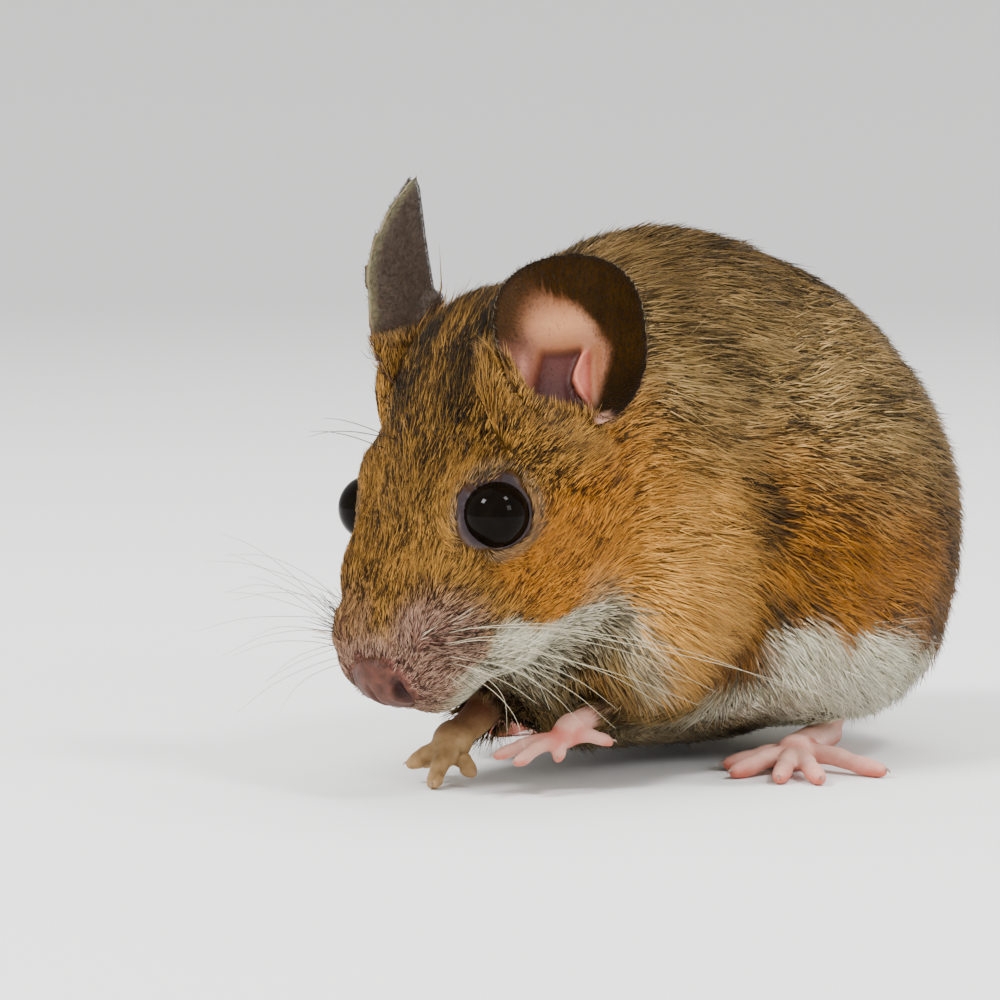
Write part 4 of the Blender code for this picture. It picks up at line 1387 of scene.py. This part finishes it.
def bare_part_density(p):
    """Short hair over the ears' backs and dark inner band, and a thin down on feet and tail."""
    q = to_body(p)
    density = 0.02 + 0.4 * step(3.0, 5.0, q[:, 2]) * (q[:, 1] > -12)
    for side in SIDES:
        x, y, height = ear_place(side, p)
        ear = on_sheet(side, x, y, height)
        inner = step(-0.08, 0.06, height - ear_relief(x, y))
        density = np.where(ear, mix(3.0, 0.1 + 3.2 * ear_band(x, y), inner), density)
    density = density + 6.0 * ear_fringe(p)
    d, t = distance_to(from_body(TAIL_ROUTE), TAIL_RADII, p)
    density = density + 5.0 * step(0.6, 0.35, d) * step(0.30, 0.12, t)
    h = to_head(p)
    thinning = 4.0 * step(0.72, 1.05, oval(h.T, NOSE_TIP, (2.5, 2.6, 3.1)))
    density = np.where((h[:, 0] < 8) & (head_share(p) > 0.5), thinning, density)
    lid = eye_distance(p) < 0.3
    return np.where(lid, 0.0, density)


def tuft_colours(root, rng, name):
    """Root, bend and tip colours. Each tuft is a light or a dark hair of its zone, chosen by
    chance and by streaks of noise drawn out along the lie of the coat."""
    count = len(root)
    shares = zone_shares(root)
    middle, light, dark = (zone_values(shares, column) for column in (USUAL, LIGHT, DARK))
    head = head_share(root)[:, None]
    drawn = mix(to_body(root) * (1, 0.4, 0.9), to_head(root) * (0.35, 1, 1), head)
    fine = mix(0.6, 0.2, head[:, 0])
    streak = noise(drawn / fine[:, None], 1.0, 21) * 0.5 + noise(drawn, 0.8, 22) * 0.3
    streak = streak + noise(drawn, 2.4, 23) * 0.2
    chance = (rng.random(count) - 0.5) * mix(0.5, 0.8, head[:, 0]) + (streak - 0.5) * 1.2 + 0.5
    is_dark = (chance < zone_values(shares, SHARE_OF_DARK))[:, None]
    bright = rng.random(count)[:, None]
    tone = np.where(is_dark, mix(dark, middle, bright**2 * 0.5), mix(middle, light, bright))
    # pale hair rings the eyes
    near_eye = step(0.9, 0.4, eye_distance(root))[:, None]
    tone = mix(tone, linear("#8C7860") * (0.6 + 0.8 * bright), 0.4 * near_eye)
    if name == "bare_parts":
        skin, _, _ = skin_colours(root)
        short = mix(skin, linear("#50340A"), 0.05 + 0.2 * bright) * (0.45 + 0.5 * bright)
        pale = to_body(root)[:, 2:3] < 6
        short = np.where(pale, mix(skin, linear("#E8DCD0"), 0.35), short)
        tone = mix(short, tone, ear_fringe(root)[:, None])
    start = tone * mix(0.2, 0.4, rng.random(count)[:, None])
    end = tone * mix(0.8, 1.3, rng.random(count)[:, None])
    return np.stack([start, tone, tone, tone, end], axis=1).reshape(-1, 3)


# ---------------------------------------------------------------- whiskers

# Four corners of each side's fan of whisker tips (left, back, up), upper front to lower back, and
# the same corners of the pad they grow from, in the head's axes.
WHISKER_TIPS = {
    "left": (((17.0, -23.0, 12.5), (21.0, -6.5, 6.0)), ((7.9, -27.6, 3.1), (13.5, -17.0, 4.0))),
    "right": (
        ((-15.0, -33.0, 20.5), (-22.0, -30.0, 16.0)), ((-11.5, -31.0, 3.5), (-19.5, -26.0, 5.0))
    ),
}
PAD_ROOTS = (((3.4, 2.8, 4.4), (6.0, 1.6, 5.2)), ((3.0, -0.6, 4.2), (5.8, -1.6, 5.0)))
PAD_MIDDLE = np.array((3.9, 1.6, 2.0))  # the bristles point away from it
WHISKER_RADII = (0.028, 0.023, 0.016, 0.008)
# the far (right) side's whiskers are painted darker than the near side's: painted shade
WHISKER_COLOURS = {"left": "#BEB498", "right": "#9A8E78"}
WHISKER_ROWS = 4  # of four whiskers each
BRISTLES, DARK_BRISTLES = 140, 0.75  # how many on each side, and the share of dark ones
BRISTLE_RADII = (0.040, 0.030, 0.01)
BROW_HAIRS = ((15.5, 8.4, 4.2), (14.4, 8.6, 3.2), (15.0, 8.9, 2.4))  # in the head's axes
BROW_RADII = (0.035, 0.03, 0.02, 0.01)


def within(corners, u, v):
    """The place at u across and v down between four corners."""
    return mix(mix(corners[0, 0], corners[0, 1], u), mix(corners[1, 0], corners[1, 1], u), v)


def whiskers_mesh(side):
    """Rows of tapered tubes from the pad to a fan of tips, bowed a little; dark short bristles
    between them; and a few long hairs over the eye."""
    rng = np.random.default_rng(7 + SIDES[side])
    turn = np.array((1, 1, SIDES[side]))
    roots = np.array(PAD_ROOTS) * turn
    tips = np.array(WHISKER_TIPS[side])
    shells, tones = [], []

    def hair(line, radii, first, last, steps=5, sides=5):
        """Adds a tube along the line, whose colour goes from first to last near its root."""
        points, faces = tube(line, radii, steps, sides, ends=1)
        shells.append((points, faces))
        far = np.linalg.norm(points - points[:sides].mean(0), axis=1)
        tones.append(mixed(first, last, step(0, 0.35, far / far.max())[:, None]))

    for row, column in np.ndindex(WHISKER_ROWS, WHISKER_ROWS):
        v, u = row / (WHISKER_ROWS - 1), column / (WHISKER_ROWS - 1)
        v, u = np.clip((v + rng.normal(0, 0.05), u + rng.normal(0, 0.09)), 0, 1)
        root, tip = from_head(within(roots, u, v)), from_body(within(tips, u, v))
        tip = root + (tip - root) * rng.uniform(0.65, 1.05)
        out = np.array((0, 0, SIDES[side])) @ HEAD_AXES
        bow = out * 1.2 + TOP + rng.normal(0, 0.4, 3)
        line = [mix(root, tip, t) + bow * 4 * t * (1 - t) * 0.8 for t in (0, 0.3, 0.65, 1.0)]
        hair(line, WHISKER_RADII, "#2A1C14", WHISKER_COLOURS[side])
    for _ in range(BRISTLES):
        u, v = rng.uniform(-0.15, 1.1, 2)
        root = within(roots, u, v)
        away = root - PAD_MIDDLE * turn + (0.6, 0, 0)
        away = unit(away + rng.normal(0, 0.25, 3))
        root, away = from_head(root), away @ HEAD_AXES
        long = rng.uniform(1.3, 3.0)
        line = [root, root + away * long * 0.5, root + away * long]
        last = "#2E1E14" if rng.random() < DARK_BRISTLES else "#C8B49A"
        hair(line, BRISTLE_RADII, "#1E120C", last, 2, 3)
    for place in BROW_HAIRS:
        root = np.array(place) * turn
        away = unit(np.array((-0.35, 1.0, 0.5)) * turn + rng.normal(0, 0.1, 3))
        line = [from_head(root + away * t - (0, 0.05 * t * t, 0)) for t in (0, 2.5, 5.0, 7.0)]
        hair(line, BROW_RADII, "#1E120C", "#4A3A28")
    mesh = mesh_of("whiskers_" + side, *together(shells))
    set_attribute(mesh, "tone", "FLOAT_COLOR", np.concatenate(tones))
    return mesh


# ---------------------------------------------------------------- claws and stage

CLAW_CURVE = np.array(((0.0, 0.0), (0.3, 0.03), (0.52, -0.08), (0.62, -0.24)))  # (out, up)
CLAW_RADII = np.array((0.18, 0.14, 0.085, 0.03))
CLAW_SIZES = {"toe": 0.8, "finger": 0.55}

FLOOR_CIRCLES = np.concatenate([[0.5], np.linspace(700, 1500, 40)])
FLOOR_SPOKES = 96
CAMERA_TARGET = (4.4, -23.4, 20.1)  # (left, back, up) in the standing axes
CAMERA_AZIMUTH, CAMERA_ELEVATION = math.radians(40), math.radians(5)
CAMERA_LENS = 162
# lamp: its place (right, up, towards the camera) from the target in metres, size and power
LAMPS = {
    "key": ((-0.3245, 0.3795, 0.2365), 0.12, 4.0),
    "window": ((0.264, 0.44, 0.1925), 0.10, 1.6),
    "fill": ((0.40, 0.22, 0.35), 0.14, 1.0),
    "top": ((0.10, 0.55, -0.15), 0.30, 2.0),
}


def floor_mesh():
    """A flat disc round the mouse whose edge sweeps up, so that no horizon shows: circles of
    growing radius, raised by a smooth step of it."""
    rise = 520 * step(700, 1900, FLOOR_CIRCLES)
    angle = np.linspace(0, 2 * np.pi, FLOOR_SPOKES, endpoint=False)
    spoke = np.column_stack([np.cos(angle), np.sin(angle), 0 * angle])
    points = (FLOOR_CIRCLES[:, None, None] * spoke + rise[:, None, None] * TOP).reshape(-1, 3)
    circle = np.arange(len(FLOOR_CIRCLES) - 1)[:, None] * FLOOR_SPOKES
    a = (circle + np.arange(FLOOR_SPOKES)).ravel()
    b = (circle + (np.arange(FLOOR_SPOKES) + 1) % FLOOR_SPOKES).ravel()
    faces = np.stack([a, a + FLOOR_SPOKES, b + FLOOR_SPOKES, b], -1)
    return mesh_of("floor", points, faces)


def turned(from_place, to_place):
    """Matrix of something at one place looking at another."""
    look = unit(from_place - to_place)
    across = unit(np.cross(TOP, look))
    axes = np.array([across, np.cross(look, across), look]).T
    return Matrix.Translation(from_place) @ Matrix(axes.tolist()).to_4x4()


# ---------------------------------------------------------------- settings and operators

class FieldMouseCoat(bpy.types.PropertyGroup):
    body_depth: FloatProperty(
        name="Depth", description="How far the skin lies inside the coat on the body",
        default=0.0011, unit="LENGTH", min=0.0005, max=0.005,
    )
    skin_grain: FloatProperty(
        name="Skin grain", description="Size of the skin's own mesh",
        default=0.00018, unit="LENGTH", min=0.0001, max=0.001,
    )
    length_scale: FloatProperty(
        name="Length", description="Length of the hair against its usual length",
        default=1.0, subtype="FACTOR", min=0.2, max=2.0,
    )
    width_scale: FloatProperty(
        name="Width", description="Width of a lock against its usual width",
        default=1.0, subtype="FACTOR", min=0.2, max=2.0,
    )
    tufts: IntProperty(
        name="Tufts", description="Locks of hair in each piece of the coat", default=31000, min=100,
        max=33000,
    )
    face_colour: FloatVectorProperty(
        name="Face", description="Usual hair colour of the face", subtype="COLOR", size=3,
        default=tuple(linear(ZONES["face"][0])), min=0.0, max=1.0,
    )
    flank_colour: FloatVectorProperty(
        name="Flanks", description="Usual hair colour of the flanks", subtype="COLOR", size=3,
        default=tuple(linear(ZONES["flank"][0])), min=0.0, max=1.0,
    )
    back_colour: FloatVectorProperty(
        name="Back", description="Usual hair colour of the back", subtype="COLOR", size=3,
        default=tuple(linear(ZONES["back"][0])), min=0.0, max=1.0,
    )
    belly_colour: FloatVectorProperty(
        name="Belly", description="Usual hair colour of the belly", subtype="COLOR", size=3,
        default=tuple(linear(ZONES["pale"][0])), min=0.0, max=1.0,
    )


class FieldMouseStage(bpy.types.PropertyGroup):
    floor_colour: FloatVectorProperty(
        name="Floor", description="Colour of the floor", subtype="COLOR", size=3,
        default=(0.93, 0.93, 0.92),
    )
    distance: FloatProperty(
        name="Distance", description="Camera to the mouse", default=0.3, unit="LENGTH",
    )


class FIELDMOUSE_OT_skin(bpy.types.Operator):
    """Covers head, body, ears, feet and tail with one skin"""

    bl_idname = "field_mouse.skin"
    bl_label = "Skin"

    def execute(self, context):
        coat = context.scene.field_mouse_coat
        set_tints(coat)
        mesh = skin_mesh(coat)
        mesh.polygons.foreach_set("use_smooth", np.ones(len(mesh.polygons), bool))
        points, _, _ = arrays_of(mesh)
        colour, bare, tail = skin_colours(points)
        set_attribute(mesh, "tone", "FLOAT_COLOR", colour)
        set_attribute(mesh, "bare", "FLOAT", bare)
        set_attribute(mesh, "tail", "FLOAT", tail)
        mesh.materials.clear()
        mesh.materials.append(skin_material())
        skin = object_of("skin", mesh)
        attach(skin, "root")
        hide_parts(*FLESH, *BARE_NODES)
        return {"FINISHED"}


class FIELDMOUSE_OT_coat(bpy.types.Operator):
    """Grows the coat as closed tufts over the skin"""

    bl_idname = "field_mouse.coat"
    bl_label = "Coat"

    def execute(self, context):
        coat = context.scene.field_mouse_coat
        set_tints(coat)
        mesh = bpy.data.objects["skin"].data
        points, faces, normals = arrays_of(mesh)
        bare = np.empty(len(points), np.float32)
        mesh.attributes["bare"].data.foreach_get("value", bare)
        masks = piece_masks(points, bare)
        hair = hair_material("mouse_hair")
        for i, name in enumerate(COAT_PIECES):
            rng = np.random.default_rng(40 + i)
            made = coat_piece(name, (points, faces, normals, bare, masks), coat.tufts, coat, rng)
            made.data.materials.append(hair)
            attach(made, "root")
        return {"FINISHED"}


class FIELDMOUSE_OT_whiskers(bpy.types.Operator):
    """Sets the whiskers in their pads, the short bristles round them and the hairs over the eyes"""

    bl_idname = "field_mouse.whiskers"
    bl_label = "Whiskers"

    def execute(self, context):
        made = hair_material("whisker_keratin", 0.3)
        for side in SIDES:
            mesh = whiskers_mesh(side)
            piece = object_of("whiskers_" + side, mesh)
            piece.data.materials.append(made)
            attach(piece, "root")
        return {"FINISHED"}


class FIELDMOUSE_OT_claws(bpy.types.Operator):
    """Ends each toe in a small curved claw"""

    bl_idname = "field_mouse.claws"
    bl_label = "Claws"

    def execute(self, context):
        made = claw_material()
        shells = []
        for kind, _, knots, radii in foot_lines():
            if kind in CLAW_SIZES:
                way = unit(unit(knots[-1] - knots[-3]) * (1, 1, 0.3))
                start = knots[-1] + way * radii[-1] * 0.6 + (0, 0, 0.12)
                curve = CLAW_CURVE * CLAW_SIZES[kind]
                line = np.array([start + way * out + TOP * rise for out, rise in curve])
                line[:, 2] = np.maximum(line[:, 2], 0.07)
                shells.append(tube(from_body(line), CLAW_RADII * CLAW_SIZES[kind], 4, 10))
        piece = object_of("claws", mesh_of("claws", *together(shells)))
        piece.data.materials.append(made)
        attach(piece, "root")
        return {"FINISHED"}


class FIELDMOUSE_OT_eyes(bpy.types.Operator):
    """Makes the two eyeballs"""

    bl_idname = "field_mouse.eyes"
    bl_label = "Eyes"

    def execute(self, context):
        made = eye_material()
        for side in SIDES:
            points, faces = ball(EYES[side], np.full(3, EYE_RADIUS), 64, 96)
            eye = object_of("eyeball_" + side, mesh_of("eyeball_" + side, points, faces))
            eye.data.materials.append(made)
            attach(eye, "root")
            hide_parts("eye_" + side)
        return {"FINISHED"}


class FIELDMOUSE_OT_stage(bpy.types.Operator):
    """Lays a pale floor, soft lights and the camera"""

    bl_idname = "field_mouse.stage"
    bl_label = "Stage"

    def execute(self, context):
        stage = context.scene.field_mouse_stage
        floor = object_of("floor", floor_mesh())
        floor.data.materials.append(floor_material(stage.floor_colour))
        world = bpy.data.worlds.new("studio")
        world.use_nodes = True
        background = world.node_tree.nodes["Background"]
        background.inputs["Color"].default_value = (1.0, 1.0, 1.0, 1)
        background.inputs["Strength"].default_value = 0.9
        context.scene.world = world
        target = from_body(CAMERA_TARGET) * MM
        sine, cosine = math.sin(CAMERA_AZIMUTH), math.cos(CAMERA_AZIMUTH)
        level = math.cos(CAMERA_ELEVATION)
        back = np.array([sine * level, -cosine * level, math.sin(CAMERA_ELEVATION)])
        right = np.array([cosine, sine, 0.0])
        axes = np.array([right, np.cross(back, right), back])
        for name, (away, size, power) in LAMPS.items():
            data = bpy.data.lights.new(name, "AREA")
            data.size, data.energy = size, power
            object_of(name, data).matrix_world = turned(target + away @ axes, target)
        camera = object_of("camera", bpy.data.cameras.new("camera"))
        camera.data.sensor_width = 36
        camera.data.lens = CAMERA_LENS
        camera.data.clip_start = 0.01
        camera.matrix_world = turned(target + back * stage.distance, target)
        context.scene.camera = camera
        return {"FINISHED"}


class FIELDMOUSE_PT_panel(bpy.types.Panel):
    bl_label = "Field mouse"
    bl_idname = "FIELDMOUSE_PT_panel"
    bl_space_type = "VIEW_3D"
    bl_region_type = "UI"
    bl_category = "Field mouse"

    def draw(self, context):
        for operator in OPERATORS:
            self.layout.operator(operator.bl_idname)
        for group in (context.scene.field_mouse_coat, context.scene.field_mouse_stage):
            for name in group.bl_rna.properties.keys():
                if name not in ("rna_type", "name"):
                    self.layout.prop(group, name)


OPERATORS = (
    FIELDMOUSE_OT_skin, FIELDMOUSE_OT_coat, FIELDMOUSE_OT_whiskers, FIELDMOUSE_OT_claws,
    FIELDMOUSE_OT_eyes, FIELDMOUSE_OT_stage,
)
CLASSES = (FieldMouseCoat, FieldMouseStage, *OPERATORS, FIELDMOUSE_PT_panel)


def register():
    """Registers the settings, the operators and the panel."""
    for made in CLASSES:
        bpy.utils.register_class(made)
    bpy.types.Scene.field_mouse_coat = PointerProperty(type=FieldMouseCoat)
    bpy.types.Scene.field_mouse_stage = PointerProperty(type=FieldMouseStage)


def unregister():
    """Takes away what register set up, in the opposite order."""
    del bpy.types.Scene.field_mouse_stage
    del bpy.types.Scene.field_mouse_coat
    for made in reversed(CLASSES):
        bpy.utils.unregister_class(made)


def main():
    """Makes the whole animal and its stage."""
    register()
    bpy.ops.field_mouse.skin()
    bpy.ops.field_mouse.coat()
    bpy.ops.field_mouse.whiskers()
    bpy.ops.field_mouse.claws()
    bpy.ops.field_mouse.eyes()
    bpy.ops.field_mouse.stage()


if __name__ == "__main__":
    main()
